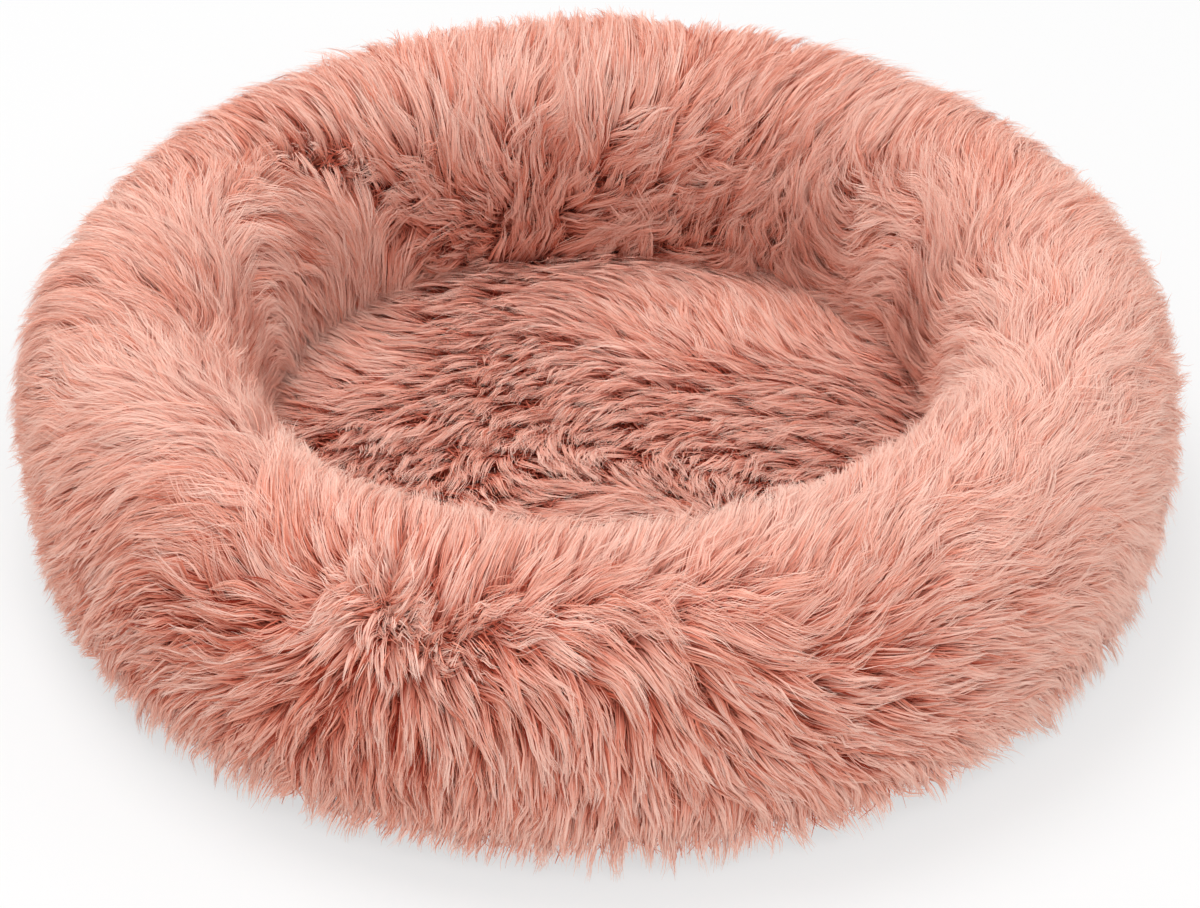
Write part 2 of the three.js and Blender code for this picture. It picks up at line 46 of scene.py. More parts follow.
# The bed, as the frame has it
BED_RADIUS = 0.245
BED_HEIGHT = 0.128
HOLLOW_RADIUS = 0.147
RING_CENTRE_HEIGHT = 0.059
PILE_DEPTH = 0.014
CROWN_RISE = 0.016
UPPER_ROUND_SHARE = 0.86
LOWER_ROUND_SHARE = 0.667
GROUND_PRESS = 0.004
INNER_SEAM_HEIGHT = 0.042
BASE_SEAM_HEIGHT = 0.020
SEAM_GAP = 0.0012
CLOTH = 0.001
CROSS_SEAM_AZIMUTH = math.radians(165)
CROSS_SEAM_DRAW = 0.004
CROSS_SEAM_REACH = 0.027
CROSS_SEAM_START = 0.012
RING_RADIUS = (BED_RADIUS + HOLLOW_RADIUS) / 2
RING_HALF_WIDTH = (BED_RADIUS - HOLLOW_RADIUS) / 2

# Camera, fitted to the bed's outline in the 1200 by 908 photograph
IMAGE_WIDTH = 1200
IMAGE_MIDDLE = (600, 454)
SENSOR_WIDTH = 36
CAMERA_ELEVATION = math.radians(34.9)
CAMERA_DISTANCE = 1.75
CAMERA_TARGET = Vector((0, 0, 0.07))
CAMERA_TARGET_PIXEL = (597.5, 382)
PIXELS_PER_METRE = 2339


def make_camera():
    back = Vector((0, -math.cos(CAMERA_ELEVATION), math.sin(CAMERA_ELEVATION)))
    up = Vector((0, math.sin(CAMERA_ELEVATION), math.cos(CAMERA_ELEVATION)))
    right = Vector((1, 0, 0))
    data = bpy.data.cameras.new("camera")
    data.sensor_width = SENSOR_WIDTH
    data.lens = SENSOR_WIDTH * PIXELS_PER_METRE * CAMERA_DISTANCE / IMAGE_WIDTH
    camera = bpy.data.objects.new("camera", data)
    bpy.context.scene.collection.objects.link(camera)
    aside = (IMAGE_MIDDLE[0] - CAMERA_TARGET_PIXEL[0]) / PIXELS_PER_METRE
    above = (CAMERA_TARGET_PIXEL[1] - IMAGE_MIDDLE[1]) / PIXELS_PER_METRE
    aim = CAMERA_TARGET + right * aside + up * above
    camera.location = CAMERA_TARGET + back * CAMERA_DISTANCE
    camera.rotation_mode = "QUATERNION"
    camera.rotation_quaternion = (camera.location - aim).to_track_quat("Z", "Y")
    bpy.context.scene.camera = camera


make_camera()


# Small helpers

def smoothstep(x, low, high):
    t = np.clip((x - low) / (high - low), 0, 1)
    return t * t * (3 - 2 * t)


def unit(v):
    return v / np.maximum(np.linalg.norm(v, axis=-1, keepdims=True), 1e-12)


def stacked(*values):
    """Puts values side by side along a new last axis, so that they become points or faces."""
    return np.stack(np.broadcast_arrays(*values), -1)


def polar(radius, azimuth, height):
    """Points from how far they are from the bed's axis, their azimuth and their height."""
    return stacked(radius * np.cos(azimuth), radius * np.sin(azimuth), height)


def even_angles(count):
    """Angles spaced evenly round a full turn."""
    return np.arange(count) / count * FULL_TURN


def in_space(place, height=0.0):
    """Points from their X and Y, and a height."""
    return stacked(place[..., 0], place[..., 1], height)


def along_line(line):
    """How far along a line each of its points is."""
    return np.concatenate([[0], np.cumsum(np.linalg.norm(np.diff(line, axis=0), axis=1))])


def part_way(lines, row, where):
    """Points between those of lines: each one's line, and where it is on it, counted in the line's points."""
    low = np.minimum(where.astype(int), lines.shape[1] - 2)
    part = (where - low)[..., None]
    return lines[row, low] * (1 - part) + lines[row, low + 1] * part


def numbered(points):
    """The number of each point of a grid."""
    return np.arange(points.size // 3).reshape(points.shape[:-1])


def quads(index):
    """Quads between the rows and columns of a grid of points."""
    return stacked(index[:-1, :-1], index[1:, :-1], index[1:, 1:], index[:-1, 1:]).reshape(-1, 4)


def band(first, second):
    """Quads between two lines of points."""
    return stacked(first[:-1], second[:-1], second[1:], first[1:])


def joined(parts):
    """Joins pieces of mesh, each given as its points and faces."""
    start = np.cumsum([0] + [len(points) for points, _ in parts])
    faces = np.concatenate([faces + first for (_, faces), first in zip(parts, start)])
    return np.concatenate([points for points, _ in parts]), faces


def mesh_object(name, points, faces, material):
    """Makes an object of quads from arrays."""
    mesh = bpy.data.meshes.new(name)
    mesh.vertices.add(len(points))
    mesh.vertices.foreach_set("co", np.asarray(points, np.float32).ravel())
    faces = np.asarray(faces, np.int32)
    corners = faces.shape[1]
    mesh.loops.add(faces.size)
    mesh.loops.foreach_set("vertex_index", faces.ravel())
    mesh.polygons.add(len(faces))
    mesh.polygons.foreach_set("loop_start", np.arange(len(faces), dtype=np.int32) * corners)
    mesh.update(calc_edges=True)
    mesh.polygons.foreach_set("use_smooth", np.full(len(faces), True))
    mesh.materials.append(material)
    made = bpy.data.objects.new(name, mesh)
    bpy.context.scene.collection.objects.link(made)
    return made


def place_piece(made, slot, *nodes):
    """Fixes a piece to the bed, and hides the nodes of the model that it stands for. The slot is not used."""
    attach(made, "bed")
    if nodes:
        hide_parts(*nodes)


# The ring's section: angle 0 faces away from the bed's axis, and a quarter turn faces up

def half_section(inset, rise):
    """How far the section reaches up or down, whichever way rise points, and how round it is there."""
    upper = np.asarray(rise) > 0
    reach = np.where(upper, BED_HEIGHT - RING_CENTRE_HEIGHT,
                     RING_CENTRE_HEIGHT + GROUND_PRESS + PILE_DEPTH) - inset
    return reach, np.where(upper, UPPER_ROUND_SHARE, LOWER_ROUND_SHARE)


def ring_point(inset, angle):
    """How far the section is from the bed's axis, and its height, at an angle."""
    across, rise = np.cos(angle), np.sin(angle)
    half, share = half_section(inset, rise)
    radius = RING_RADIUS + (RING_HALF_WIDTH - inset) * np.sign(across) * np.abs(across) ** share
    return stacked(radius, RING_CENTRE_HEIGHT + half * np.sign(rise) * np.abs(rise) ** share)


def outer_angle(inset, height):
    """The angle at which the section's outer side has a height."""
    rise = height - RING_CENTRE_HEIGHT
    half, share = half_section(inset, rise)
    return math.copysign(math.asin((abs(rise) / half) ** (1 / share)), rise)


def inner_radius(inset, height):
    """How far the section's inner side is from the bed's axis at a height."""
    return float(ring_point(inset, np.array(math.pi - outer_angle(inset, height)))[0])


def even_spacing(points, count):
    """Points at even distances along a line, and the line's length."""
    along = along_line(points)
    places = np.linspace(0, along[-1], count)
    return stacked(*(np.interp(places, along, column) for column in points.T)), along[-1]


def drawn_in(radius, height, azimuth):
    """Each cross seam draws the stuffed ring in towards the middle of its section."""
    pull = 0
    for seam in (CROSS_SEAM_AZIMUTH, CROSS_SEAM_AZIMUTH + math.pi):
        away = np.abs(np.sin((azimuth - seam) / 2)) * 2 * RING_RADIUS
        pull = pull + np.exp(-((away / CROSS_SEAM_REACH) ** 2))
    start = INNER_SEAM_HEIGHT + CROSS_SEAM_START
    reached = smoothstep(height, start, RING_CENTRE_HEIGHT + CROSS_SEAM_REACH)
    keep = 1 - CROSS_SEAM_DRAW / (BED_HEIGHT - RING_CENTRE_HEIGHT) * pull * reached
    return (RING_RADIUS + (radius - RING_RADIUS) * keep,
            RING_CENTRE_HEIGHT + (height - RING_CENTRE_HEIGHT) * keep)


# The backing that the fur grows from, as a grid round the ring: azimuth by distance along the section

RING_COLUMNS = 360
RING_ROWS = 96
CENTRE_GRID = 81
HEM_DROP = 0.032
INNER_HEM_DROP = 0.014
UNEVEN_DEPTH = 0.0022
DIMPLE_DEPTH = 0.0012
SMOOTHING_PASSES = 6


def uneven(azimuth, along):
    """Soft lumps of the stuffing, which end at the seams."""
    lump = np.sin(3 * azimuth + 0.7) * np.sin(2 * along * math.pi + 0.4)
    lump = lump + 0.7 * np.sin(7 * azimuth + 2.1) * np.sin(3 * along * math.pi + 1.3)
    lump = lump + 0.4 * np.sin(13 * azimuth + 0.3) * np.cos(4 * along * math.pi)
    return UNEVEN_DEPTH * lump / 2 * smoothstep(along, 0, 0.15) * smoothstep(1 - along, 0, 0.1)


# The backing's section, from the base seam over the top to the inner seam
section_angles = np.linspace(outer_angle(PILE_DEPTH, BASE_SEAM_HEIGHT),
                             math.pi - outer_angle(PILE_DEPTH, INNER_SEAM_HEIGHT), 600)
section_curve = ring_point(PILE_DEPTH, section_angles)
section_line, RING_SECTION = even_spacing(section_curve, RING_ROWS)
CENTRE_RADIUS = inner_radius(PILE_DEPTH, INNER_SEAM_HEIGHT)


class RingSurface:
    """Places points by azimuth, distance from the base seam, and height over the backing."""

    def __init__(self):
        self.row_step = RING_SECTION / (RING_ROWS - 1)
        hem_rows, inner_rows = (int(round(drop / self.row_step)) for drop in (HEM_DROP, INNER_HEM_DROP))
        (low_radius, low_height), (high_radius, high_height) = section_line[0], section_line[-1]
        hem = stacked(low_radius, low_height - np.arange(hem_rows, 0, -1) * self.row_step)
        inner_hem = stacked(high_radius, high_height - np.arange(1, inner_rows + 1) * self.row_step)
        line = np.concatenate([hem, section_line, inner_hem])
        self.hem_length = hem_rows * self.row_step
        self.rows = len(line)
        a, j = np.meshgrid(even_angles(RING_COLUMNS), np.arange(self.rows), indexing="ij")
        radius, height = drawn_in(line[j, 0], line[j, 1], a)
        normal = self.normals_of(radius, height)
        push = uneven(a, (j - hem_rows) * self.row_step / RING_SECTION)
        radius, height = radius + push * normal[..., 0], height + push * normal[..., 1]
        normal = self.normals_of(radius, height)
        self.radius = radius
        self.points = polar(radius, a, height)
        self.normals = polar(normal[..., 0], a, normal[..., 1])

    def normals_of(self, radius, height):
        """Normals of the grid, as their part away from the bed's axis and their part upward."""
        tangent = unit(stacked(np.gradient(radius, axis=1), np.gradient(height, axis=1)))
        normal = stacked(tangent[..., 1], -tangent[..., 0])
        for _ in range(SMOOTHING_PASSES):
            padded = np.concatenate([normal[:, :1], normal, normal[:, -1:]], axis=1)
            normal = unit(padded[:, :-2] + padded[:, 1:-1] + padded[:, 2:])
        return normal

    def sample(self, grid, place):
        u = (place[..., 0] / FULL_TURN % 1) * RING_COLUMNS
        v = np.clip((place[..., 1] + self.hem_length) / self.row_step, 0, self.rows - 1.001)
        i, j = u.astype(int), v.astype(int)
        fu, fv = (u - i), (v - j)
        if grid.ndim == 3:
            fu, fv = fu[..., None], fv[..., None]
        i, i2 = i % RING_COLUMNS, (i + 1) % RING_COLUMNS
        near = grid[i, j] * (1 - fv) + grid[i, j + 1] * fv
        far = grid[i2, j] * (1 - fv) + grid[i2, j + 1] * fv
        return near * (1 - fu) + far * fu

    def shifted(self, place, along_turn, along_section):
        radius = np.maximum(self.sample(self.radius, place), 0.1)
        return stacked(place[..., 0] + along_turn / radius, place[..., 1] + along_section)

    def position(self, place, height):
        return self.sample(self.points, place) + self.sample(self.normals, place) * height[..., None]

    def normal(self, place):
        return unit(self.sample(self.normals, place))


def centre_top(radius):
    inward = np.minimum(radius / HOLLOW_RADIUS, 1)
    return INNER_SEAM_HEIGHT - SEAM_GAP / 2 + CROWN_RISE * (1 - inward ** 2)


def dimples(place):
    """Shallow dips and rises of the centre panel."""
    return DIMPLE_DEPTH * np.sin(70 * place[..., 0] + 1) * np.sin(60 * place[..., 1])


class CentreSurface:
    """Places points by X, Y and height over the centre panel's backing."""

    def shifted(self, place, across, along):
        return stacked(place[..., 0] + across, place[..., 1] + along)

    def position(self, place, height):
        radius = np.linalg.norm(place, axis=-1)
        return in_space(place, centre_top(radius) - PILE_DEPTH + dimples(place) + height)

    def normal(self, place):
        slope = 2 * CROWN_RISE / HOLLOW_RADIUS ** 2
        return unit(stacked(place[..., 0] * slope, place[..., 1] * slope, 1.0))


# The way the fur is brushed. A direction of 0 degrees runs anticlockwise round the ring, 90 degrees runs
# up the outside and over into the hollow, and -90 degrees runs down the outside.
# Each line gives an azimuth in degrees, a share of the way from the base seam to the inner seam,
# and the direction in degrees there.
BRUSHED_SHARES = (
    # The front rim, combed over into the hollow
    (-140, 0.64, 140), (-125, 0.62, 112), (-108, 0.62, 90), (-90, 0.58, 80), (-75, 0.58, 70),
    (-60, 0.60, 52), (-45, 0.62, 36), (-30, 0.64, 22), (-120, 0.82, 95), (-90, 0.82, 88),
    (-60, 0.82, 70), (-30, 0.84, 50),
    # The band below the parting, which turns to run along the ring at the right
    (-92, 0.45, 2), (-84, 0.46, 4), (-76, 0.46, 6), (-68, 0.46, 4), (-118, 0.44, 178), (-127, 0.42, 172),
    (-90, 0.32, -58), (-80, 0.34, -42), (-70, 0.36, -20), (-58, 0.42, -4), (-45, 0.42, 4), (-30, 0.42, 6),
    # The front flank
    (-125, 0.14, -114), (-110, 0.14, -90), (-95, 0.14, -66), (-80, 0.14, -50), (-65, 0.14, -38),
    (-50, 0.14, -34), (-35, 0.14, -40), (-18, 0.14, -50),
    # The right side
    (-15, 0.45, -8), (0, 0.52, -30), (16, 0.52, -46), (0, 0.25, -42), (20, 0.20, -62), (0, 0.70, 14),
    (20, 0.74, 0), (38, 0.52, -72), (42, 0.20, -85), (0, 0.88, 40), (35, 0.85, -20),
    # The rear, which fans out from two partings
    (54, 0.58, -112), (66, 0.62, -128), (74, 0.70, -118), (84, 0.60, -58), (98, 0.60, -122),
    (106, 0.66, -112), (120, 0.62, -56), (134, 0.56, -74), (150, 0.52, -100), (70, 0.30, -98),
    (95, 0.30, -86), (120, 0.30, -92), (60, 0.12, -90), (90, 0.12, -84), (120, 0.12, -94),
    (150, 0.14, -90), (55, 0.86, -70), (80, 0.88, -105), (108, 0.88, -70), (138, 0.80, 60), (152, 0.74, 104),
    # The left side
    (170, 0.60, -138), (170, 0.42, -118), (172, 0.16, -95), (176, 0.74, -140), (-178, 0.60, -142),
    (-176, 0.46, -130), (-178, 0.22, -114), (-166, 0.74, -150), (-164, 0.60, -148), (-162, 0.42, -138),
    (-162, 0.20, -126), (-150, 0.70, -160), (-148, 0.56, -154), (-148, 0.38, -140), (-146, 0.16, -122),
    (-134, 0.46, -162), (-134, 0.28, -128), (176, 0.93, 150), (-155, 0.92, 140),
)
BRUSH_REACH = 0.026
WHORL_AZIMUTH = math.radians(-112)
WHORL_SHARE = 0.44
WHORL_REACH = 0.034
SWIRL_TURN = math.radians(12)
LOW_HANG = 0.6
INNER_WANDER = 1.6
RING_WAVES = ((0.30, 0.050, 3), (0.16, 0.020, 4))
CENTRE_WAVES = ((1.1, 0.11, 5), (0.5, 0.04, 6))
CENTRE_WAY = math.radians(-130)


def wavy_field(points, size, seed):
    """A smooth field from about -1 to 1 that wanders over about the given size."""
    draw = np.random.default_rng(seed)
    total = 0
    for _ in range(7):
        way = unit(draw.normal(0, 1, 3))
        pace = FULL_TURN / (size * draw.uniform(1.4, 3.0))
        total = total + np.sin(points @ (way * pace) + draw.uniform(0, FULL_TURN))
    return total / 3


def wander(points, waves, start=0):
    """Adds wavy fields to a start. Each is given as its strength, size and seed."""
    return sum((strength * wavy_field(points, size, seed) for strength, size, seed in waves), start)


def around_from(azimuth, start):
    """How far round the ring, in metres and with its sign, each azimuth is from another."""
    turned = (azimuth - start + math.pi) % FULL_TURN - math.pi
    return 2 * RING_RADIUS * np.sin(turned / 2)


def ring_direction(place):
    """The brushed direction on the ring, in radians."""
    azimuth, along = place[..., 0], place[..., 1]
    turn_x, turn_y = np.zeros(azimuth.shape), np.zeros(azimuth.shape)
    for degrees, share, direction in BRUSHED_SHARES:
        aside = around_from(azimuth, math.radians(degrees))
        weight = np.exp(-(aside ** 2 + (along - share * RING_SECTION) ** 2) / (2 * BRUSH_REACH ** 2)) + 1e-7
        turn_x += weight * math.cos(math.radians(direction))
        turn_y += weight * math.sin(math.radians(direction))
    length = np.maximum(np.hypot(turn_x, turn_y), 1e-9)
    low = LOW_HANG * smoothstep(-along / RING_SECTION, -0.13, -0.01)
    turn_x, turn_y = turn_x / length * (1 - low), turn_y / length * (1 - low) - low
    aside = around_from(azimuth, WHORL_AZIMUTH)
    upward = along - WHORL_SHARE * RING_SECTION
    distance = np.maximum(np.hypot(aside, upward), 1e-6)
    hold = np.exp(-((distance / WHORL_REACH) ** 2))
    c, s = math.cos(SWIRL_TURN), math.sin(SWIRL_TURN)
    turn_x = turn_x * (1 - hold) + hold * (c * aside - s * upward) / distance
    turn_y = turn_y * (1 - hold) + hold * (s * aside + c * upward) / distance
    direction = np.arctan2(turn_y, turn_x)
    inner = smoothstep(along / RING_SECTION, 0.62, 0.8) * (0.5 + 0.5 * np.sin(azimuth))
    return direction + wander(ring.sample(ring.points, place), RING_WAVES) * (1 + INNER_WANDER * inner)


def centre_direction(place):
    """The brushed direction on the centre panel, which wanders as pile does where it is lain on."""
    return wander(in_space(place), CENTRE_WAVES, CENTRE_WAY)


# Fur

LOCK_SPACING = 0.0070
CENTRE_LOCK_SPACING = 0.0078
STRANDS_PER_LOCK = 50
WISPS_PER_LOCK = 13
LOCK_LENGTH = 0.032
LOCK_RADIUS = 0.0066
LOCK_ROUNDING = 0.4
WISP_RADIUS = 0.0016
STRAND_WIDTH = 0.00038
RING_LIFT = 0.0205
CENTRE_LIFT = 0.0150
PARTING_SPREAD = 75
PARTING_TURN = 0.28
PARTING_DRIFT = 0.003
LINE_STEPS = 12
STRAND_POINTS = 6
ROOT_DEPTH = 0.001
STRAY_SHARE = 0.07
LOCK_DROOP = 0.0004             # how far an average lock's tip hangs
LOCK_DROOP_CHANGE = 0.0014
STRAND_RISE = 0.0002            # change in height between the strands of a wisp, at their tips
STRAY_RISE = 0.0016
STRAND_LOWEST = 0.0003          # height that no strand goes under beyond its root
LOCK_WAVE = 0.24
MESSY_WAVE = 0.16
ROOT_JITTER = 0.45
CENTRE_MARGIN = 0.002
PARTING_CUT = 0.50
PARTING_RANGE = (12, 90)
SPREAD_STEP = 0.006
CROWN_DROP = 0.0016
WISP_TONE = 0.09
WISP_ROLL = 0.14
WISP_RISE = 0.0005
WISP_SWAY = 0.0013
STRAND_TONE = 0.15
STRAND_ROLL = 0.12
STRAND_TWIST = 0.15
FLOOR_GAP = 0.0012
RAGGED_ENDS = 0.0026
FUR_TOP = 0.1365
STRAY_PRESS = 0.75
UNDERCOAT_SPACING = 0.0021
UNDERCOAT_LENGTH = 0.015
UNDERCOAT_LIFT = 0.0075
UNDERCOAT_WIDTH = 0.0011
UNDERCOAT_POINTS = 4
UNDERCOAT_TONE = 0.58


def ring_roots(spacing):
    places = []
    reach = RING_SECTION + INNER_HEM_DROP
    rows = int(round(reach / spacing))
    for row in range(rows):
        along = (row + 0.5) / rows * reach
        radius = float(np.interp(along, np.linspace(0, RING_SECTION, RING_ROWS), section_line[:, 0]))
        count = int(FULL_TURN * radius / spacing)
        azimuth = (np.arange(count) + rng.uniform()) / count * FULL_TURN
        places.append(stacked(azimuth, along))
    place = np.concatenate(places)
    jitter = rng.uniform(-ROOT_JITTER, ROOT_JITTER, place.shape) * spacing
    azimuth = place[:, 0] + jitter[:, 0] / RING_RADIUS
    return stacked(azimuth, np.clip(place[:, 1] + jitter[:, 1], 0, reach))


def centre_roots(spacing):
    reach = CENTRE_RADIUS - CENTRE_MARGIN
    count = int(2 * reach / spacing) + 1
    line = (np.arange(count) - (count - 1) / 2) * spacing
    place = stacked(*np.meshgrid(line, line)).reshape(-1, 2)
    place += rng.uniform(-ROOT_JITTER, ROOT_JITTER, place.shape) * spacing
    return place[np.linalg.norm(place, axis=1) < reach]


def spread_of(surface, roots, direction_at):
    """How fast the brushed directions part from each other at each root, per metre."""
    step = SPREAD_STEP
    ahead = direction_at(surface.shifted(roots, step, 0))
    behind = direction_at(surface.shifted(roots, -step, 0))
    above = direction_at(surface.shifted(roots, 0, step))
    below = direction_at(surface.shifted(roots, 0, -step))
    return (np.cos(ahead) - np.cos(behind) + np.sin(above) - np.sin(below)) / (2 * step)


def ring_clumping(place):
    """How far the pile has gathered into separate locks: 0 where it lies smooth, 1 where it's shaggy."""
    azimuth, share = place[..., 0], place[..., 1] / RING_SECTION
    front = smoothstep(-np.sin(azimuth), 0.15, 0.75)
    flank = front * smoothstep(-share, -0.48, -0.34) * (1 - 0.75 * smoothstep(np.cos(azimuth), 0.55, 0.85))
    aside = around_from(azimuth, WHORL_AZIMUTH)
    whorl = 0.6 * np.exp(-((aside / 0.05) ** 2) - ((share - WHORL_SHARE) / 0.12) ** 2)
    inner = 0.55 * smoothstep(share, 0.66, 0.80) * (1 - 0.9 * front)
    rear = 0.2 * smoothstep(np.sin(azimuth), 0.2, 0.8) * smoothstep(share, 0.3, 0.5)
    shaggy = np.maximum.reduce([flank, whorl, inner, rear]) * smoothstep(share, 0.02, 0.14)
    return np.clip(shaggy, 0, 1)


def lock_lines(surface, roots, direction_at, length, wave, loose):
    """The middle line of each lock: it follows the brushed direction and waves from side to side."""
    count = len(roots)
    bend = rng.normal(0, 1, (count, 2)) * wave[:, None]
    phase = rng.uniform(0, FULL_TURN, (count, 2))
    turn = rng.normal(0, 0.5, count) * wave + rng.normal(0, 1, count) * loose
    line = [roots]
    for step in range(LINE_STEPS - 1):
        t = step / (LINE_STEPS - 1)
        side = bend[:, 0] * np.sin(5 * t + phase[:, 0]) + bend[:, 1] * np.sin(13 * t + phase[:, 1])
        direction = direction_at(line[-1]) + turn + side
        pace = length / (LINE_STEPS - 1) * (0.6 + 0.65 * t)
        line.append(surface.shifted(line[-1], pace * np.cos(direction), pace * np.sin(direction)))
    return np.stack(line, 1)


class Fur:
    """Strands as points, side ways, shading normals, widths, shades and their range from root to tip."""

    def __init__(self, points, side, normals, width, shade, tip, root, start):
        self.points, self.side, self.normals = points, side, normals
        self.width, self.shade, self.tip, self.root, self.start = width, shade, tip, root, start


def ribbon_sides(points, normals, roll):
    """Lays each ribbon flat on the fur, then rolls it about its own line."""
    forward = unit(np.gradient(points, axis=1))
    side = unit(np.cross(forward, normals))
    over = unit(np.cross(side, forward))
    return side * np.cos(roll)[..., None] + over * np.sin(roll)[..., None], over


def grow_locks(surface, roots, direction_at, lift, length_share, tone, clumping, messy, loose):
    """Locks like overlapping tongues: each one's strands lie on one sheet that climbs from root to tip."""
    locks = len(roots)
    spread = smoothstep(spread_of(surface, roots, direction_at), *PARTING_RANGE)
    length = LOCK_LENGTH * length_share * rng.uniform(0.8, 1.2, locks) * (1 - PARTING_CUT * spread)
    wave = LOCK_WAVE - 0.05 * clumping + MESSY_WAVE * messy
    lines = lock_lines(surface, roots, direction_at, length, wave, loose)
    flow = lines[:, 3] - lines[:, 0]
    if surface is ring:
        flow = flow * np.array([RING_RADIUS, 1])
    flow = unit(flow)

    lock = np.repeat(np.arange(locks), STRANDS_PER_LOCK)
    count = len(lock)
    shaggy = clumping[lock]
    wisp = rng.integers(0, WISPS_PER_LOCK, count)
    size = (locks, WISPS_PER_LOCK)
    wisp_turn = rng.uniform(0, FULL_TURN, size)
    wisp_away = LOCK_RADIUS * np.sqrt(rng.uniform(0, 1, size))
    wisp_tone, wisp_roll, wisp_height = (rng.normal(0, change, size)[lock, wisp]
                                         for change in (WISP_TONE, WISP_ROLL, WISP_RISE))
    wisp_side = rng.normal(0, WISP_SWAY, (*size, 2))[lock, wisp]
    stray = rng.uniform(0, 1, count) < STRAY_SHARE
    own_turn = rng.uniform(0, FULL_TURN, count)
    own_away = WISP_RADIUS * np.sqrt(rng.uniform(0, 1, count)) * np.where(stray, 2.4, 1 - 0.38 * shaggy)
    own_x, own_y = own_away * np.cos(own_turn), own_away * np.sin(own_turn)
    out_x = (wisp_away * np.cos(wisp_turn))[lock, wisp]
    out_y = (wisp_away * np.sin(wisp_turn))[lock, wisp]
    ahead = out_x * flow[lock, 0] + out_y * flow[lock, 1]
    across = (out_x * flow[lock, 1] - out_y * flow[lock, 0]) / LOCK_RADIUS
    wisp_reach = rng.uniform(0.74, 1.02, size)[lock, wisp] - 0.16 * across ** 2
    reach = wisp_reach * (1 - rng.uniform(0, 1, count) * (0.28 - 0.16 * shaggy))
    lock_height = lift * (1 + rng.uniform(-1, 0.45, locks) * (0.07 + 0.17 * clumping))
    droop = rng.normal(LOCK_DROOP, LOCK_DROOP_CHANGE, locks)

    t = np.linspace(0, 1, STRAND_POINTS)[None, :] * np.ones((count, 1))
    run = np.clip(t * reach[:, None], 0, 1)
    base = part_way(lines, lock[:, None], run * (LINE_STEPS - 1))
    gather = 1 - (0.40 + 0.50 * shaggy)[:, None] * run ** 1.3
    pinch = np.where(stray[:, None], 1 + 0.4 * t, 1 - (0.35 + 0.33 * shaggy)[:, None] * t)
    shift_x = out_x[:, None] * gather + own_x[:, None] * pinch + wisp_side[:, :1] * run ** 2
    shift_y = out_y[:, None] * gather + own_y[:, None] * pinch + wisp_side[:, 1:] * run ** 2
    place = surface.shifted(base, shift_x, shift_y)
    reached = np.clip(run + ahead[:, None] * gather / length[lock, None], 0, 1.1)
    arc = 0.35 * reached + 0.65 * np.sin(math.pi / 2 * np.minimum(reached, 1) ** 0.8)
    profile = (0.22 + 0.78 * arc) * smoothstep(run, 0, 0.16)
    lock_wide = lock_height[lock, None]
    crown = CROWN_DROP * (across ** 2)[:, None] * gather * smoothstep(run, 0.05, 0.5)
    up = lock_wide * profile - crown + wisp_height[:, None] * smoothstep(run, 0, 0.4)
    up = up - droop[lock, None] * smoothstep(run, 0.55, 1.0)
    up = up + np.where(stray, STRAY_RISE, STRAND_RISE)[:, None] * rng.normal(0.4, 1, count)[:, None] * t
    up = np.where(t == 0, -ROOT_DEPTH, np.maximum(up, STRAND_LOWEST))
    points = surface.position(place, up)
    normals = surface.normal(place)
    middle = surface.position(base, lock_wide * profile)
    aside = points - middle
    aside = aside - normals * (aside * normals).sum(-1, keepdims=True)
    own_roll, twist = rng.normal(0, STRAND_ROLL, count), rng.normal(0, STRAND_TWIST, count)
    roll = (wisp_roll + own_roll)[:, None] + twist[:, None] * t
    side, _ = ribbon_sides(points, normals, roll)
    facing = unit(np.cross(side, unit(np.gradient(points, axis=1))))
    rounded = unit(facing + 0.35 * normals + aside / LOCK_RADIUS * LOCK_ROUNDING)
    width = STRAND_WIDTH * rng.uniform(0.7, 1.3, count)[:, None] * np.maximum(1 - t ** 2.4, 0.14)
    # Painted shade and highlight: strands at a lock's edges, and in shaggy locks the shorter ones, are drawn
    # darker, as in the slits between locks; strands along a lock's crown are drawn lighter.
    painted_lock_shade = (0.08 + 0.66 * shaggy) * (across ** 2 - 0.40) + 0.10 * shaggy * (1 - reach)
    shade = tone[lock] + wisp_tone * (1 + 1.7 * shaggy) - painted_lock_shade + rng.normal(0, STRAND_TONE, count)
    # Where each strand starts on the colour ramp from root to tip: shaggy locks start lower and show more of
    # the dark root's painted shade, while partings and smooth pile start higher and show less of it.
    start = np.minimum(0.03 + 0.30 * spread[lock] + 0.31 * (1 - shaggy), 0.6)
    return Fur(points, side, rounded, width, shade, reach, roots[lock], start)


def grow_undercoat(surface, roots, direction_at):
    """Short, dense pile between the roots of the locks."""
    count = len(roots)
    direction = direction_at(roots) + rng.normal(0, 0.6, count)
    length = UNDERCOAT_LENGTH * rng.uniform(0.7, 1.2, count)
    t = np.linspace(0, 1, UNDERCOAT_POINTS)[None, :] * np.ones((count, 1))
    bend = direction[:, None] + rng.normal(0, 0.5, count)[:, None] * t
    way = t * length[:, None]
    start = np.repeat(roots[:, None], UNDERCOAT_POINTS, 1)
    place = surface.shifted(start, way * np.cos(bend), way * np.sin(bend))
    up = UNDERCOAT_LIFT * rng.uniform(0.7, 1.2, count)[:, None] * t ** 0.8 - ROOT_DEPTH * (t == 0)
    points = surface.position(place, up)
    normals = surface.normal(place)
    side, over = ribbon_sides(points, normals, rng.normal(0, 0.4, count)[:, None] * np.ones_like(t))
    width = UNDERCOAT_WIDTH * rng.uniform(0.7, 1.3, count)[:, None] * np.maximum(1 - t ** 2, 0.2)
    shade = UNDERCOAT_TONE + rng.normal(0, 0.12, count)
    return Fur(points, side, unit(normals + 0.3 * over), width, shade,
               np.full(count, 0.42), roots, np.zeros(count))


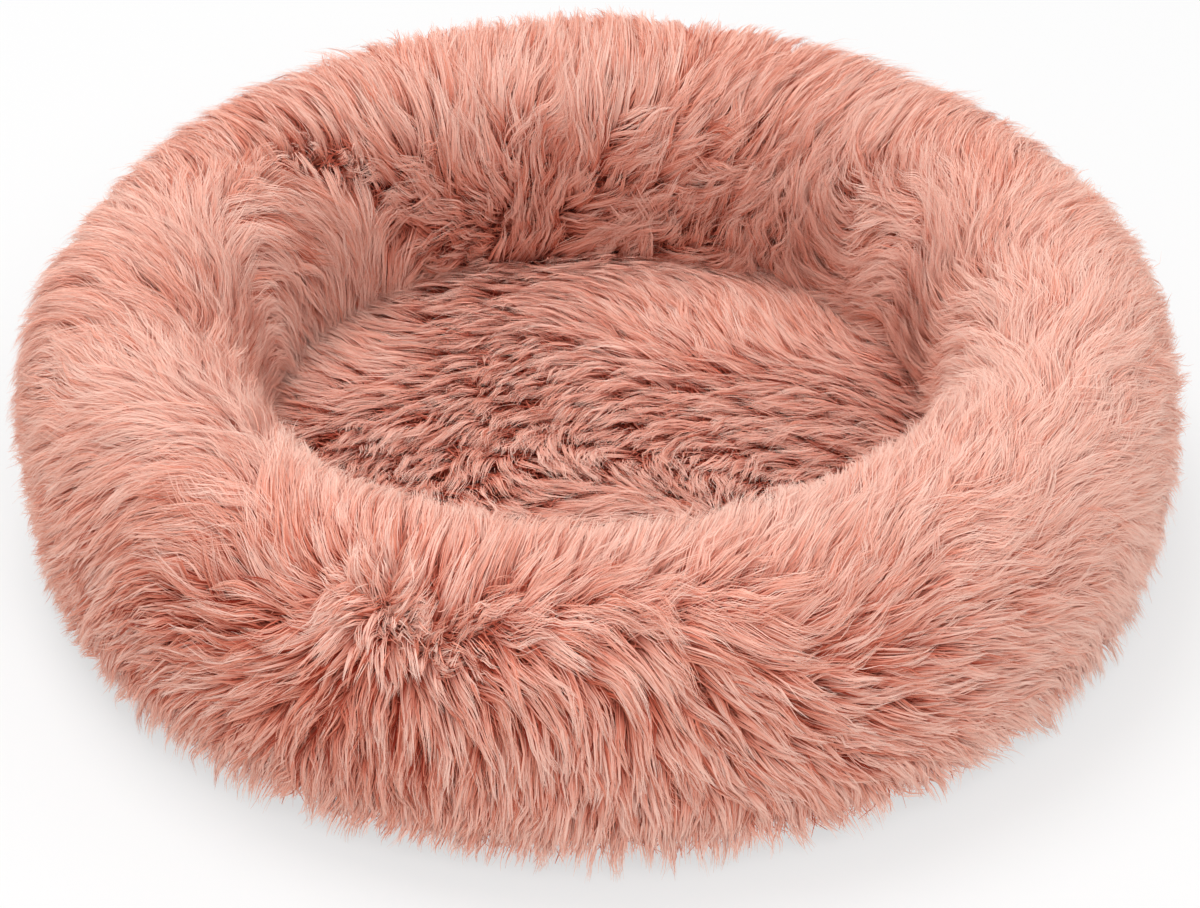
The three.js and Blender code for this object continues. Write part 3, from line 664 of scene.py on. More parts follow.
def keep_off_floor(points):
    """Pulls each strand back along itself until its tip clears the floor, with ragged ends."""
    count, steps = points.shape[:2]
    stop = FLOOR_GAP + rng.uniform(0, RAGGED_ENDS, count)
    below = points[..., 2] < stop[:, None]
    first = np.maximum(np.where(below.any(1), below.argmax(1), steps - 1), 1)
    row = np.arange(count)
    above, under = points[row, first - 1, 2], points[row, first, 2]
    part = np.clip((above - stop) / np.maximum(above - under, 1e-9), 0, 1)
    end = np.where(below.any(1), first - 1 + part, steps - 1)
    pulled = part_way(points, row[:, None], np.linspace(0, 1, steps) * end[:, None])
    pulled[..., 2] = np.maximum(pulled[..., 2], FLOOR_GAP / 2)
    return pulled


def lie_under(points, level):
    """Presses the highest strands down towards a level, as strays are when the bed is packed and handled."""
    points[..., 2] -= STRAY_PRESS * np.maximum(points[..., 2] - level, 0)
    return points


def fur_part(fur, chosen):
    """Corners, quads, normals and UVs of tapered ribbons. A UV is the shade and the way from root to tip."""
    points, side = fur.points[chosen], fur.side[chosen]
    count, steps = points.shape[:2]
    half = side * (fur.width[chosen] / 2)[..., None]
    corners = np.stack([points - half, points + half], 2).reshape(-1, 3)
    normals = np.repeat(fur.normals[chosen].reshape(-1, 3), 2, axis=0)
    first = (np.arange(count) * steps * 2)[:, None] + np.arange(steps - 1) * 2
    faces = stacked(first, first + 1, first + 3, first + 2).reshape(-1, 4)
    along = np.linspace(0, 1, steps)[None, :, None] * fur.tip[chosen][:, None, None]
    along = along + (1 - along) * fur.start[chosen][:, None, None]
    u = np.clip(fur.shade[chosen], 0.02, 0.98)[:, None, None] + np.array([-0.004, 0.004])
    return corners, faces, normals, stacked(u, 0.01 + 0.98 * along).reshape(-1, 2)


def fur_object(name, parts):
    corners, faces = joined([part[:2] for part in parts])
    normals, uv = (np.concatenate([part[k] for part in parts]) for k in (2, 3))
    made = mesh_object(name, corners, faces, plush_fur)
    mesh = made.data
    mesh.uv_layers.new(name="OFBake").data.foreach_set("uv", uv[faces.ravel()].astype(np.float32).ravel())
    shading = mesh.attributes.new("custom_normal", "FLOAT_VECTOR", "POINT")
    shading.data.foreach_set("vector", normals.astype(np.float32).ravel())
    place_piece(made, "plush_pile")


# Materials

def new_material(name):
    made = bpy.data.materials.new(name)
    made.use_nodes = True
    return made, made.node_tree, made.node_tree.nodes["Principled BSDF"]


def linear(colour):
    """A colour written as it looks on screen, 0 to 255, as the linear values that a socket takes."""
    c = np.array(colour) / 255
    return (*np.where(c <= 0.04045, c / 12.92, ((c + 0.055) / 1.055) ** 2.4), 1.0)


def add_node(tree, kind):
    return tree.nodes.new("ShaderNode" + kind)


def feed(tree, node, **values):
    """Puts values and other nodes' outputs into a node's sockets, named with _ for a space."""
    for name, value in values.items():
        target = node.inputs[name.replace("_", " ")]
        if isinstance(value, bpy.types.NodeSocket):
            tree.links.new(value, target)
        else:
            target.default_value = value


def ramp(tree, value, stops):
    node = add_node(tree, "ValToRGB")
    elements = node.color_ramp.elements
    while len(elements) < len(stops):
        elements.new(0.5)
    for element, (place, colour) in zip(elements, stops):
        element.position = place
        element.color = linear(colour)
    feed(tree, node, Fac=value)
    return node.outputs["Color"]


def maths(tree, operation, *values):
    node = add_node(tree, "Math")
    node.operation = operation
    for value, target in zip(values, node.inputs):
        if isinstance(value, bpy.types.NodeSocket):
            tree.links.new(value, target)
        else:
            target.default_value = value
    return node.outputs[0]


def parts_of(tree, vector):
    """The X, Y and Z of a vector."""
    node = add_node(tree, "SeparateXYZ")
    feed(tree, node, Vector=vector)
    return node.outputs


def noise(tree, vector, size, detail=3.0):
    node = add_node(tree, "TexNoise")
    feed(tree, node, Vector=vector, Scale=1 / size, Detail=detail)
    return node.outputs["Fac"]


# Colours from root to tip. The dark root is painted shade, for the depth of the pile and the slits between
# locks; the pale tip is a painted highlight, for light that scatters through the tips.
FUR_ROOT_PAINTED_SHADE = (172, 78, 58)
FUR_MIDDLE = (242, 162, 140)
FUR_UPPER = (255, 210, 193)
FUR_TIP_PAINTED_HIGHLIGHT = (255, 223, 209)
# Colours by shade. The ramp turns darker and redder towards its low end, painted shade as fur in shade looks,
# which the painted shade of lock edges and shaggy places reaches into.
SHADE_DARK = (152, 60, 42)
SHADE_MIDDLE = (228, 168, 149)
SHADE_UPPER = (249, 225, 217)
SHADE_PALE = (255, 255, 255)
KNIT_SIZE = 1 / 900
# The backing is coloured darker and redder than the fur: painted shade for the gaps between the locks, where
# it shows.
KNIT_SHADE_DARK = (120, 60, 50)
KNIT_SHADE_PALE = (168, 96, 82)


def fur_material():
    """The shade is in the UV's X, and the way from root to tip is in its Y."""
    made, tree, shader = new_material("plush_fur")
    uv_map = add_node(tree, "UVMap")
    uv_map.uv_map = "OFBake"
    shade, way, _ = parts_of(tree, uv_map.outputs["UV"])
    # The dark root colour is painted shade and the pale tip a painted highlight.
    along = ramp(tree, way, ((0.0, FUR_ROOT_PAINTED_SHADE), (0.3, FUR_MIDDLE), (0.62, FUR_UPPER), (1.0, FUR_TIP_PAINTED_HIGHLIGHT)))
    tone = ramp(tree, shade,
                ((0.0, SHADE_DARK), (0.36, SHADE_MIDDLE), (0.72, SHADE_UPPER), (1.0, SHADE_PALE)))
    mix = add_node(tree, "Mix")
    mix.data_type = "RGBA"
    mix.blend_type = "MULTIPLY"
    mix.inputs["Factor"].default_value = 1
    tree.links.new(along, mix.inputs[6])
    tree.links.new(tone, mix.inputs[7])
    feed(tree, shader, Base_Color=mix.outputs[2], Roughness=0.62, Specular_IOR_Level=0.08)
    return made


def backing_material():
    # Painted shade: the backing shows only in the gaps of the fur, and is drawn dark for them.
    made, tree, shader = new_material("plush_backing")
    speckle = noise(tree, add_node(tree, "TexCoord").outputs["Object"], KNIT_SIZE, 2.0)
    feed(tree, shader, Base_Color=ramp(tree, speckle, ((0.3, KNIT_SHADE_DARK), (0.7, KNIT_SHADE_PALE))), Roughness=0.9)
    return made


plush_fur = fur_material()
plush_backing = backing_material()


# Plush covers: knitted backing with a real thickness, from seam to seam

def cover_shell(name, start, end, node):
    """Half of the ring's cover, as a closed shell of the backing's thickness."""
    first = int(round(start / FULL_TURN * RING_COLUMNS))
    last = int(round(end / FULL_TURN * RING_COLUMNS))
    columns = np.arange(first, last + 1) % RING_COLUMNS
    first_row = int(round(ring.hem_length / ring.row_step))
    outside = ring.points[columns][:, first_row:]
    inside = outside - ring.normals[columns][:, first_row:] * CLOTH
    loop = np.concatenate([outside, inside[:, ::-1]], 1)
    index = numbered(loop)
    near, far = np.split(index, 2, axis=1)
    far = far[:, ::-1]
    caps = np.roll(np.concatenate([band(near[0], far[0]), band(far[-1], near[-1])]), -1, 1)
    faces = np.concatenate([quads(np.concatenate([index, index[:, :1]], 1)), caps])
    made = mesh_object(name, loop.reshape(-1, 3), faces, plush_backing)
    place_piece(made, "plush_pile", node)


ring = RingSurface()
centre = CentreSurface()
cover_shell("ring_backing_rear", CROSS_SEAM_AZIMUTH - math.pi, CROSS_SEAM_AZIMUTH, "ring_cover_rear")
cover_shell("ring_backing_front", CROSS_SEAM_AZIMUTH - FULL_TURN, CROSS_SEAM_AZIMUTH - math.pi,
            "ring_cover_front")

RING_SECTORS = 18
CENTRE_SECTORS = 4


def add_ring_fur():
    """The ring's fur. Its length and lift change from region to region, and so does its shade, which carries
    painted light and shade.
    """
    roots = ring_roots(LOCK_SPACING)
    parting = np.repeat(roots[spread_of(ring, roots, ring_direction) > PARTING_SPREAD], 2, axis=0)
    loose = np.concatenate([np.zeros(len(roots)), np.full(len(parting), PARTING_TURN)])
    drift = rng.normal(0, PARTING_DRIFT, parting.shape)
    roots = np.concatenate([roots, parting + drift / np.array([RING_RADIUS, 1])])
    share = roots[:, 1] / RING_SECTION
    to_right, to_rear = np.cos(roots[:, 0]), np.sin(roots[:, 0])
    rear = smoothstep(to_rear, 0.1, 0.6)
    inner_rear = rear * smoothstep(share, 0.62, 0.78)
    top_rear = rear * smoothstep(share, 0.22, 0.40) * (1 - smoothstep(share, 0.5, 0.66))
    points = ring.sample(ring.points, roots)
    shaggy = ring_clumping(roots)
    # Painted light and shade: the tone is raised on the right side, the front rim, the right flank, the upper
    # left and the rear inner wall, and lowered where the pile is shaggy and at the rear, for how the light
    # falls there.
    rim = smoothstep(-to_rear, 0.15, 0.75) * smoothstep(share, 0.48, 0.58)
    pale = np.maximum(smoothstep(to_right, 0.3, 0.8), rim)
    painted_light_right_flank = smoothstep(to_right, 0.3, 0.7) * smoothstep(-share, -0.5, -0.25)
    painted_light_left_top = smoothstep(-to_right, 0.5, 0.9) * smoothstep(share, 0.4, 0.6)
    tone = 0.80 - 0.17 * shaggy + 0.13 * pale - 0.10 * rear + 0.13 * inner_rear
    tone = tone + 0.07 * painted_light_right_flank + 0.06 * painted_light_left_top
    tone = tone + rng.normal(0, 0.07, len(roots)) + 0.10 * wavy_field(points, 0.06, 8)
    low_share = smoothstep(-share, -0.22, 0)
    low_flank = smoothstep(-share, -0.36, -0.12)
    length = 1.0 - 0.1 * smoothstep(share, 0.7, 0.95) - 0.28 * low_share - 0.07 * low_flank
    length = length + 0.28 * inner_rear
    length = length * (1 - 0.3 * (loose > 0))
    # Painted light: locks at partings are drawn lighter, against the shadow in the partings.
    tone = tone + 0.08 * (loose > 0)
    lift = RING_LIFT * (1 - 0.10 * low_share - 0.18 * low_flank - 0.14 * inner_rear - 0.16 * top_rear)
    locks = grow_locks(ring, roots, ring_direction, lift, length, tone, shaggy, inner_rear, loose)
    locks.points = lie_under(keep_off_floor(locks.points), FUR_TOP)
    roots = ring_roots(UNDERCOAT_SPACING)
    under = grow_undercoat(ring, roots, ring_direction)
    under.points = keep_off_floor(under.points)
    add_sectors("ring_fur", (locks, under), RING_SECTORS)


def add_centre_fur():
    roots = centre_roots(CENTRE_LOCK_SPACING)
    tone = 0.76 + rng.normal(0, 0.08, len(roots))
    even = np.ones(len(roots))
    locks = grow_locks(centre, roots, centre_direction, CENTRE_LIFT, even, tone,
                       0.15 * even, 0 * even, 0 * even)
    roots = centre_roots(UNDERCOAT_SPACING)
    under = grow_undercoat(centre, roots, centre_direction)
    for fur in (locks, under):
        fur.root = np.arctan2(fur.root[:, 1], fur.root[:, 0])[:, None]
    add_sectors("centre_fur", (locks, under), CENTRE_SECTORS)


def add_sectors(name, furs, count):
    for number in range(count):
        parts = [fur_part(fur, (fur.root[:, 0] / FULL_TURN % 1 * count).astype(int) == number)
                 for fur in furs]
        fur_object(f"{name}_{number + 1}", parts)


add_ring_fur()
add_centre_fur()


# Finishes of the other pieces. Each pattern works on a piece's own coordinates, in metres.

WEAVE_PITCH = 0.0011
WORN_PATCH = 0.012


def wave(tree, value, period):
    """A wave from 0 to 1 with the given period."""
    turned = maths(tree, "SINE", maths(tree, "MULTIPLY", value, FULL_TURN / period))
    return maths(tree, "MULTIPLY_ADD", turned, 0.5, 0.5)


def plain_weave(tree, vector, x, y, z):
    across, along = wave(tree, x, WEAVE_PITCH), wave(tree, y, WEAVE_PITCH)
    over, under = (maths(tree, "MULTIPLY", first, maths(tree, "SUBTRACT", 1.0, second))
                   for first, second in ((across, along), (along, across)))
    return maths(tree, "ADD", over, under)


def round_weave(tree, vector, x, y, z):
    """A plain weave that runs round the bed."""
    return plain_weave(tree, vector, maths(tree, "MULTIPLY", maths(tree, "ARCTAN2", y, x), BED_RADIUS), z, z)


def herringbone(tree, vector, x, y, z):
    zigzag = maths(tree, "PINGPONG", y, 0.0024)
    return wave(tree, maths(tree, "ADD", x, zigzag), 0.0009)


def satin(tree, vector, x, y, z):
    return maths(tree, "MULTIPLY", wave(tree, y, 0.0004), wave(tree, maths(tree, "ADD", x, y), 0.0016))


def pressed_dots(tree, vector, x, y, z):
    """The rows of small pressed points that hold non-woven cloth together."""
    along = maths(tree, "MULTIPLY", maths(tree, "ARCTAN2", y, x), RING_RADIUS)
    spot = maths(tree, "MULTIPLY", wave(tree, along, 0.0024), wave(tree, maths(tree, "ADD", x, z), 0.0024))
    return maths(tree, "SUBTRACT", 1.0, maths(tree, "POWER", spot, 3.0))


def spun(tree, vector, x, y, z):
    return wave(tree, maths(tree, "ADD", maths(tree, "ADD", x, y), z), 0.0005)


def fibres(tree, vector, x, y, z):
    return noise(tree, vector, 0.0012, 8.0)


def brushed(tree, vector, x, y, z):
    return wave(tree, maths(tree, "MULTIPLY_ADD", noise(tree, vector, 0.02), 0.0004, y), 0.0001)


def finish_material(name, dark, pale, pattern, roughness, depth, metallic=0.0):
    """A finish whose pattern shows in its colour, its roughness and its relief."""
    made, tree, shader = new_material(name)
    vector = add_node(tree, "TexCoord").outputs["Object"]
    height = pattern(tree, vector, *parts_of(tree, vector))
    worn = noise(tree, vector, WORN_PATCH)
    mixed = maths(tree, "MULTIPLY_ADD", height, 0.6, maths(tree, "MULTIPLY", worn, 0.4))
    relief = add_node(tree, "Bump")
    feed(tree, relief, Strength=0.6, Distance=depth, Height=height)
    rough = maths(tree, "MULTIPLY_ADD", worn, 0.16, roughness - 0.08)
    feed(tree, shader, Base_Color=ramp(tree, mixed, ((0.2, dark), (0.8, pale))), Roughness=rough,
         Metallic=metallic, Normal=relief.outputs["Normal"])
    return made


base_cloth = finish_material("base_cloth", (132, 98, 90), (166, 130, 121), plain_weave, 0.85, 0.0002)
grip_rubber = finish_material("grip_rubber", (122, 92, 86), (142, 110, 103), fibres, 0.6, 0.00003)
binding_tape = finish_material("binding_tape", (166, 118, 107), (196, 150, 139), round_weave, 0.85, 0.0002)
zip_tape = finish_material("zip_tape", (178, 120, 108), (208, 154, 142), herringbone, 0.82, 0.00012)
zip_coil = finish_material("zip_coil", (196, 138, 124), (214, 160, 147), fibres, 0.42, 0.00002)
zip_metal = finish_material("zip_metal", (184, 184, 188), (202, 202, 206), brushed, 0.24, 0.000002,
                            metallic=1.0)
sewing_thread = finish_material("sewing_thread", (182, 118, 104), (220, 158, 144), spun, 0.75, 0.0001)
label_satin = finish_material("label_satin", (232, 228, 219), (250, 247, 240), satin, 0.38, 0.00003)
liner_cloth = finish_material("liner_cloth", (222, 219, 213), (244, 242, 237), pressed_dots, 0.88, 0.0001)
fibre_fill = finish_material("fibre_fill", (226, 226, 226), (250, 250, 250), fibres, 0.95, 0.0008)


# Helpers for sheets, threads and bags

def thick_sheet(name, middle, thickness, material, closed=False):
    """Cloth with a real thickness, from a grid of points on its middle surface."""
    over_rows = np.concatenate([middle[-1:], middle, middle[:1]]) if closed else middle
    by_row = np.gradient(over_rows, axis=0)
    by_row = by_row[1:-1] if closed else by_row
    normal = unit(np.cross(by_row, np.gradient(middle, axis=1)))
    points = np.concatenate([middle + normal * thickness / 2, middle - normal * thickness / 2])
    over = numbered(middle)
    under = over + over.size
    if closed:
        over, under = (np.concatenate([index, index[:1]]) for index in (over, under))
    faces = [quads(over), quads(under)[:, ::-1],
             band(over[:, 0], under[:, 0]), band(under[:, -1], over[:, -1])]
    if not closed:
        faces += [band(under[0], over[0]), band(over[-1], under[-1])]
    return mesh_object(name, points.reshape(-1, 3), np.concatenate(faces), material)


def disc_grid(count):
    """A square grid of points drawn out to a disc of radius 1."""
    line = np.linspace(-1, 1, count)
    u, v = np.meshgrid(line, line, indexing="ij")
    return stacked(u * np.sqrt(1 - v ** 2 / 2), v * np.sqrt(1 - u ** 2 / 2))


TUBE_SIDES = 6


def tubes(lines, radius, upward):
    """Corners and quads of round threads, closed at both ends, one along each line."""
    forward = unit(np.gradient(lines, axis=1))
    side = unit(np.cross(upward, forward))
    over = np.cross(forward, side)
    turn = even_angles(TUBE_SIDES)
    ring_way = side[:, :, None] * np.cos(turn)[:, None] + over[:, :, None] * np.sin(turn)[:, None]
    points = lines[:, :, None] + radius * ring_way
    index = numbered(points)
    after = np.roll(index, -1, axis=2)
    faces = stacked(index[:, :-1], after[:, :-1], after[:, 1:], index[:, 1:]).reshape(-1, 4)
    caps = [index[:, -1][:, [0, 1, 2, 3]], index[:, -1][:, [0, 3, 4, 5]],
            index[:, 0][:, [3, 2, 1, 0]], index[:, 0][:, [5, 4, 3, 0]]]
    return points.reshape(-1, 3), np.concatenate([faces, *caps])


THREAD_RADIUS = 0.0003
STITCH_POINTS = 7
# Kinds of stitch: pitch, length, how far each leans across its row, and how far it arches off the cloth
CROSS_STITCH = (0.0026, 0.0016, 0.0012, 0.0003)
INNER_STITCH = (0.0030, 0.0022, 0.0010, 0.0002)
BASE_STITCH = (0.0030, 0.0018, 0.0014, 0.0002)
BASE_END_STITCH = (0.0022, 0.0012, 0.0009, 0.0)
ZIP_STITCH = (0.0034, 0.0026, 0.00005, 0.0001)
RING_SLIT_STITCH = (0.0030, 0.0012, 0.0016, 0.0004)
CUSHION_SLIT_STITCH = (0.0030, 0.0012, 0.0016, 0.0003)
DOWN = (0, 0, -1.0)


def stitches(node, path, outward, kind):
    """A row of stitches of a kind along a path."""
    pitch, length, across, bulge = kind
    path, outward = np.asarray(path), np.broadcast_to(outward, np.shape(path))
    along = along_line(path)
    count = int(along[-1] / pitch)
    first = (along[-1] - (count - 1) * pitch) / 2
    t = np.linspace(0, 1, STITCH_POINTS)
    places = first + np.arange(count)[:, None] * pitch + (t - 0.5) * length
    points, up = (stacked(*(np.interp(places, along, column) for column in v.T)) for v in (path, outward))
    up = unit(up)
    side = unit(np.cross(up, np.gradient(points, axis=1)))
    lean = across * (1 + rng.uniform(-0.08, 0.08, (count, 1, 1)))
    points = points + side * lean * (2 * t - 1)[:, None] + up * bulge * np.sin(t * math.pi)[:, None]
    corners, faces = tubes(points, THREAD_RADIUS, up)
    place_piece(mesh_object(node + "_stitches", corners, faces, sewing_thread), "sewing_thread", node)


def centre_shell():
    """The centre panel's backing, from rim to rim."""
    place = disc_grid(CENTRE_GRID) * CENTRE_RADIUS
    middle = centre.position(place, np.full(place.shape[:-1], -CLOTH / 2))
    made = thick_sheet("centre_backing", middle, CLOTH, plush_backing)
    place_piece(made, "plush_pile", "centre_panel")


centre_shell()


# Base: two half discs of woven cloth, raised in the middle over the zip, with grip dots underneath

CLEARANCE = 0.0003
RECESS_HEIGHT = 0.0098
RECESS_RUN = 0.025
CONTACT_MARGIN = 0.010
CONTACT_RADIUS = inner_radius(PILE_DEPTH, 0) - CONTACT_MARGIN
RECESS_RADIUS = CONTACT_RADIUS - RECESS_RUN
TAPE_HALF_LENGTH = RECESS_RADIUS - 0.005
CHAIN_HALF_LENGTH = TAPE_HALF_LENGTH - 0.007
SLOT_HALF_LENGTH = CHAIN_HALF_LENGTH + 2 * CLEARANCE + 0.003
SLOT_HALF_WIDTH = 0.0060
BASE_CLOTH = 0.0005
RIPPLE_HEIGHT = 0.00025
DOT_HEIGHT = 0.00042
DOT_RADIUS = 0.0009
DOT_SPACING = 0.0085
DOT_SIDES = 8
DOT_FREE_STRIP = 0.017
DOT_BORDER = 0.003
DOT_REACH = 0.210
BINDING_INSET = PILE_DEPTH + CLOTH + CLEARANCE + 0.0004
BINDING_WIDTH = 0.012
WRINKLE_HEIGHT = 0.00012
BINDING_COLUMNS = 720
BINDING_THICKNESS = 0.0007
CLOTH_LIFT = DOT_HEIGHT + 0.00003
BASE_MIDDLE_LIFT = CLOTH_LIFT + BASE_CLOTH / 2


def base_line(lift):
    """The base's section from the bed's axis to the base seam, lifted off the floor."""
    share = np.linspace(0, 1, 30)
    slope = stacked(RECESS_RADIUS + share * RECESS_RUN,
                    RECESS_HEIGHT * (1 + np.cos(share * math.pi)) / 2 + lift)
    inset = PILE_DEPTH + lift
    rim_angle = np.linspace(outer_angle(inset, lift), outer_angle(inset, BASE_SEAM_HEIGHT - SEAM_GAP / 2), 30)
    rim = ring_point(inset, rim_angle)
    return np.concatenate([[[0, RECESS_HEIGHT + lift]], slope, np.maximum(rim, lift)])


base_middle = base_line(BASE_MIDDLE_LIFT)
base_along = along_line(base_middle)
BASE_REACH = base_along[-1]


def base_points(flat):
    """Bends points of the flat cut into the shape that the base has in the bed."""
    away = np.linalg.norm(flat, axis=-1)
    radius = np.interp(away, base_along, base_middle[:, 0])
    height = np.interp(away, base_along, base_middle[:, 1])
    way = flat / np.maximum(away, 1e-9)[..., None]
    slack = smoothstep(-away, -RECESS_RADIUS, -0.1)
    ripple = RIPPLE_HEIGHT * wavy_field(in_space(flat), 0.04, 11) * slack
    return in_space(way * radius[..., None], height + ripple)


def base_panel(node, side):
    """Half of the base: a half disc whose straight edge has the zip's slot in it."""
    across, rows = 220, 70
    end = math.asin((SEAM_GAP / 2 + 0.0015) / BASE_REACH)
    x = BASE_REACH * np.cos(np.linspace(end, math.pi - end, across))
    step = 0.0002
    corners = [place * SLOT_HALF_LENGTH + turn * step for place in (1, -1) for turn in (-1, 1)]
    x = np.sort(np.concatenate([x[np.abs(np.abs(x) - SLOT_HALF_LENGTH) > 2 * step], corners]))
    edge = np.where(np.abs(x) < SLOT_HALF_LENGTH, SLOT_HALF_WIDTH, SEAM_GAP / 6)
    share = np.linspace(0, 1, rows)
    y = edge[:, None] + share * (np.sqrt(BASE_REACH ** 2 - x ** 2) - edge)[:, None]
    flat = stacked(x[:, None], y * side)[::side]
    piece = thick_sheet(node + "_cloth", base_points(flat), BASE_CLOTH, base_cloth)
    place_piece(piece, "base_cloth", node)


def grip_dots(name, side):
    """Low rubber domes under one half of the base, in staggered rows."""
    rows = int(BASE_REACH / DOT_SPACING)
    y, x = np.meshgrid(np.arange(1, rows) * DOT_SPACING, np.arange(-rows, rows + 1) * DOT_SPACING,
                       indexing="ij")
    x = x + (np.arange(1, rows) % 2)[:, None] * DOT_SPACING / 2
    radius = np.hypot(x, y)
    off_slope = (radius < RECESS_RADIUS - DOT_BORDER) | (radius > CONTACT_RADIUS + DOT_BORDER)
    kept = (y > DOT_FREE_STRIP) & off_slope & (radius < DOT_REACH)
    places = stacked(x[kept], side * y[kept])
    height = np.where(np.hypot(*places.T) < RECESS_RADIUS, RECESS_HEIGHT, 0) + CLOTH_LIFT
    turn = even_angles(DOT_SIDES)
    circle = stacked(np.cos(turn), np.sin(turn))
    levels = ((1.0, -0.0003), (0.92, 0.5 * DOT_HEIGHT), (0.55, DOT_HEIGHT))
    points = np.stack([in_space(places[:, None] + circle * DOT_RADIUS * share, (height - drop)[:, None])
                       for share, drop in levels], 1)
    index = numbered(points)
    after = np.roll(index, -1, axis=2)
    walls = stacked(index[:, :-1], index[:, 1:], after[:, 1:], after[:, :-1]).reshape(-1, 4)
    corners = ([0, 1, 2, 3], [0, 3, 4, 7], [4, 5, 6, 7])
    tips = [index[:, -1][:, c[::-1]] for c in corners]
    backs = [index[:, 0][:, c] for c in corners]
    made = mesh_object(name, points.reshape(-1, 3), np.concatenate([walls, *tips, *backs]), grip_rubber)
    place_piece(made, "base_cloth")


base_panel("base_panel_rear", 1)
base_panel("base_panel_front", -1)
grip_dots("grip_dots_rear", 1)
grip_dots("grip_dots_front", -1)


def binding():
    """The tape that covers the raw edges behind the base seam."""
    low, high = (outer_angle(BINDING_INSET, BASE_SEAM_HEIGHT + way * BINDING_WIDTH / 2) for way in (-1, 1))
    line = ring_point(BINDING_INSET, np.linspace(low, high, 9))
    turn = even_angles(BINDING_COLUMNS)
    wrinkle = WRINKLE_HEIGHT * np.sin(turn * 83 + 2 * np.sin(turn * 7))
    radius = line[:, 0] + wrinkle[:, None] * np.linspace(-1, 1, 9)
    middle = polar(radius, turn[:, None], line[:, 1])
    piece = thick_sheet("base_seam_binding_tape", middle, BINDING_THICKNESS, binding_tape, closed=True)
    place_piece(piece, "binding_tape", "base_seam_binding")


binding()


# Seams

def cover_path(azimuth, along):
    """A seam's line on the ring's cover, and the way outward along it."""
    place = stacked(azimuth, along)
    return ring.position(place, np.full(len(place), THREAD_RADIUS)), ring.normal(place)


whole_turn = np.linspace(0, FULL_TURN, 721)
section_part = np.linspace(0.015, 0.985, 200) * RING_SECTION
stitches("cross_seam_left", *cover_path(CROSS_SEAM_AZIMUTH, section_part), CROSS_STITCH)
stitches("cross_seam_right", *cover_path(CROSS_SEAM_AZIMUTH - math.pi, section_part), CROSS_STITCH)
stitches("inner_seam_thread", *cover_path(whole_turn, RING_SECTION), INNER_STITCH)
stitches("base_seam_thread", *cover_path(whole_turn, 0.0), BASE_STITCH)


def base_end_seam(node, side):
    """The seam that joins the base's halves beyond one end of the zip."""
    start = [TAPE_HALF_LENGTH + SEAM_GAP, RECESS_HEIGHT + DOT_HEIGHT + BASE_CLOTH / 2]
    line = np.concatenate([[start], base_middle[base_middle[:, 0] > start[0]]])
    stitches(node, stacked(side * line[:, 0], 0, line[:, 1]), DOWN, BASE_END_STITCH)


base_end_seam("base_end_seam_right", 1)
base_end_seam("base_end_seam_left", -1)


# Zip

TAPE_LOW = 0.0089
TAPE_THICKNESS = 0.0006
TAPE_CLOTH = TAPE_THICKNESS - 0.00014
COIL_LOW = 0.0068
COIL_HEIGHT = 0.0018
COIL_WIDTH = 0.00225
COIL_INNER = 0.00075
TAPE_WIDTH = 0.013
STITCH_LINE = 0.009
COIL_PITCH = 0.00127
COIL_WIRE = 0.00034
TURN_STEPS = 12
RIDGE_HEIGHT = 0.00006
RIDGE_PITCH = 0.0024


def zip_side(end, side):
    """One side of the zip: its tape, its row of coil round a core, and the stitches that hold it."""
    reach = TAPE_HALF_LENGTH
    x = np.linspace(-reach, reach, 300)
    y = np.linspace(COIL_INNER, COIL_INNER + TAPE_WIDTH, 26)
    ridge = RIDGE_HEIGHT * np.sin(y * FULL_TURN / RIDGE_PITCH)
    middle = stacked(x[:, None], y * side, TAPE_LOW + TAPE_THICKNESS / 2 + ridge)[::side]
    piece = thick_sheet(f"zip_tape_{end}_cloth", middle, TAPE_CLOTH, zip_tape)
    place_piece(piece, "zip_tape", f"zip_tape_{end}")

    turns = int(2 * CHAIN_HALF_LENGTH / COIL_PITCH) - 1
    angle = np.arange(turns * TURN_STEPS + 1) / TURN_STEPS * FULL_TURN
    x = (angle / angle[-1] - 0.5) * (2 * CHAIN_HALF_LENGTH - 2 * COIL_WIRE)
    middle, level = COIL_INNER + COIL_WIDTH / 2, COIL_LOW + COIL_HEIGHT / 2
    across = middle - (COIL_WIDTH / 2 - COIL_WIRE) * np.cos(angle)
    turned = stacked(x, side * across, level + (COIL_HEIGHT / 2 - COIL_WIRE) * np.sin(angle))
    core = stacked(x[::TURN_STEPS], side * middle, level)
    parts = [tubes(line[None], COIL_WIRE, np.array(up))
             for line, up in ((turned, (1.0, 0, 0)), (core, (0, 0, 1.0)))]
    place_piece(mesh_object(f"zip_coil_{end}_turns", *joined(parts), zip_coil), "zip_coil", f"zip_coil_{end}")

    reach = TAPE_HALF_LENGTH - 0.003
    path = [[x, side * STITCH_LINE, TAPE_LOW - THREAD_RADIUS] for x in (-reach, reach)]
    stitches(f"zip_stitch_{end}", path, DOWN, ZIP_STITCH)


zip_side("front", -1)
zip_side("rear", 1)

for node in ("zip_top_stop_front", "zip_top_stop_rear", "zip_bottom_stop", "zip_slider", "zip_pull_tab"):
    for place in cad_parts[node].material_slots:
        place.link = "OBJECT"
        place.material = zip_metal


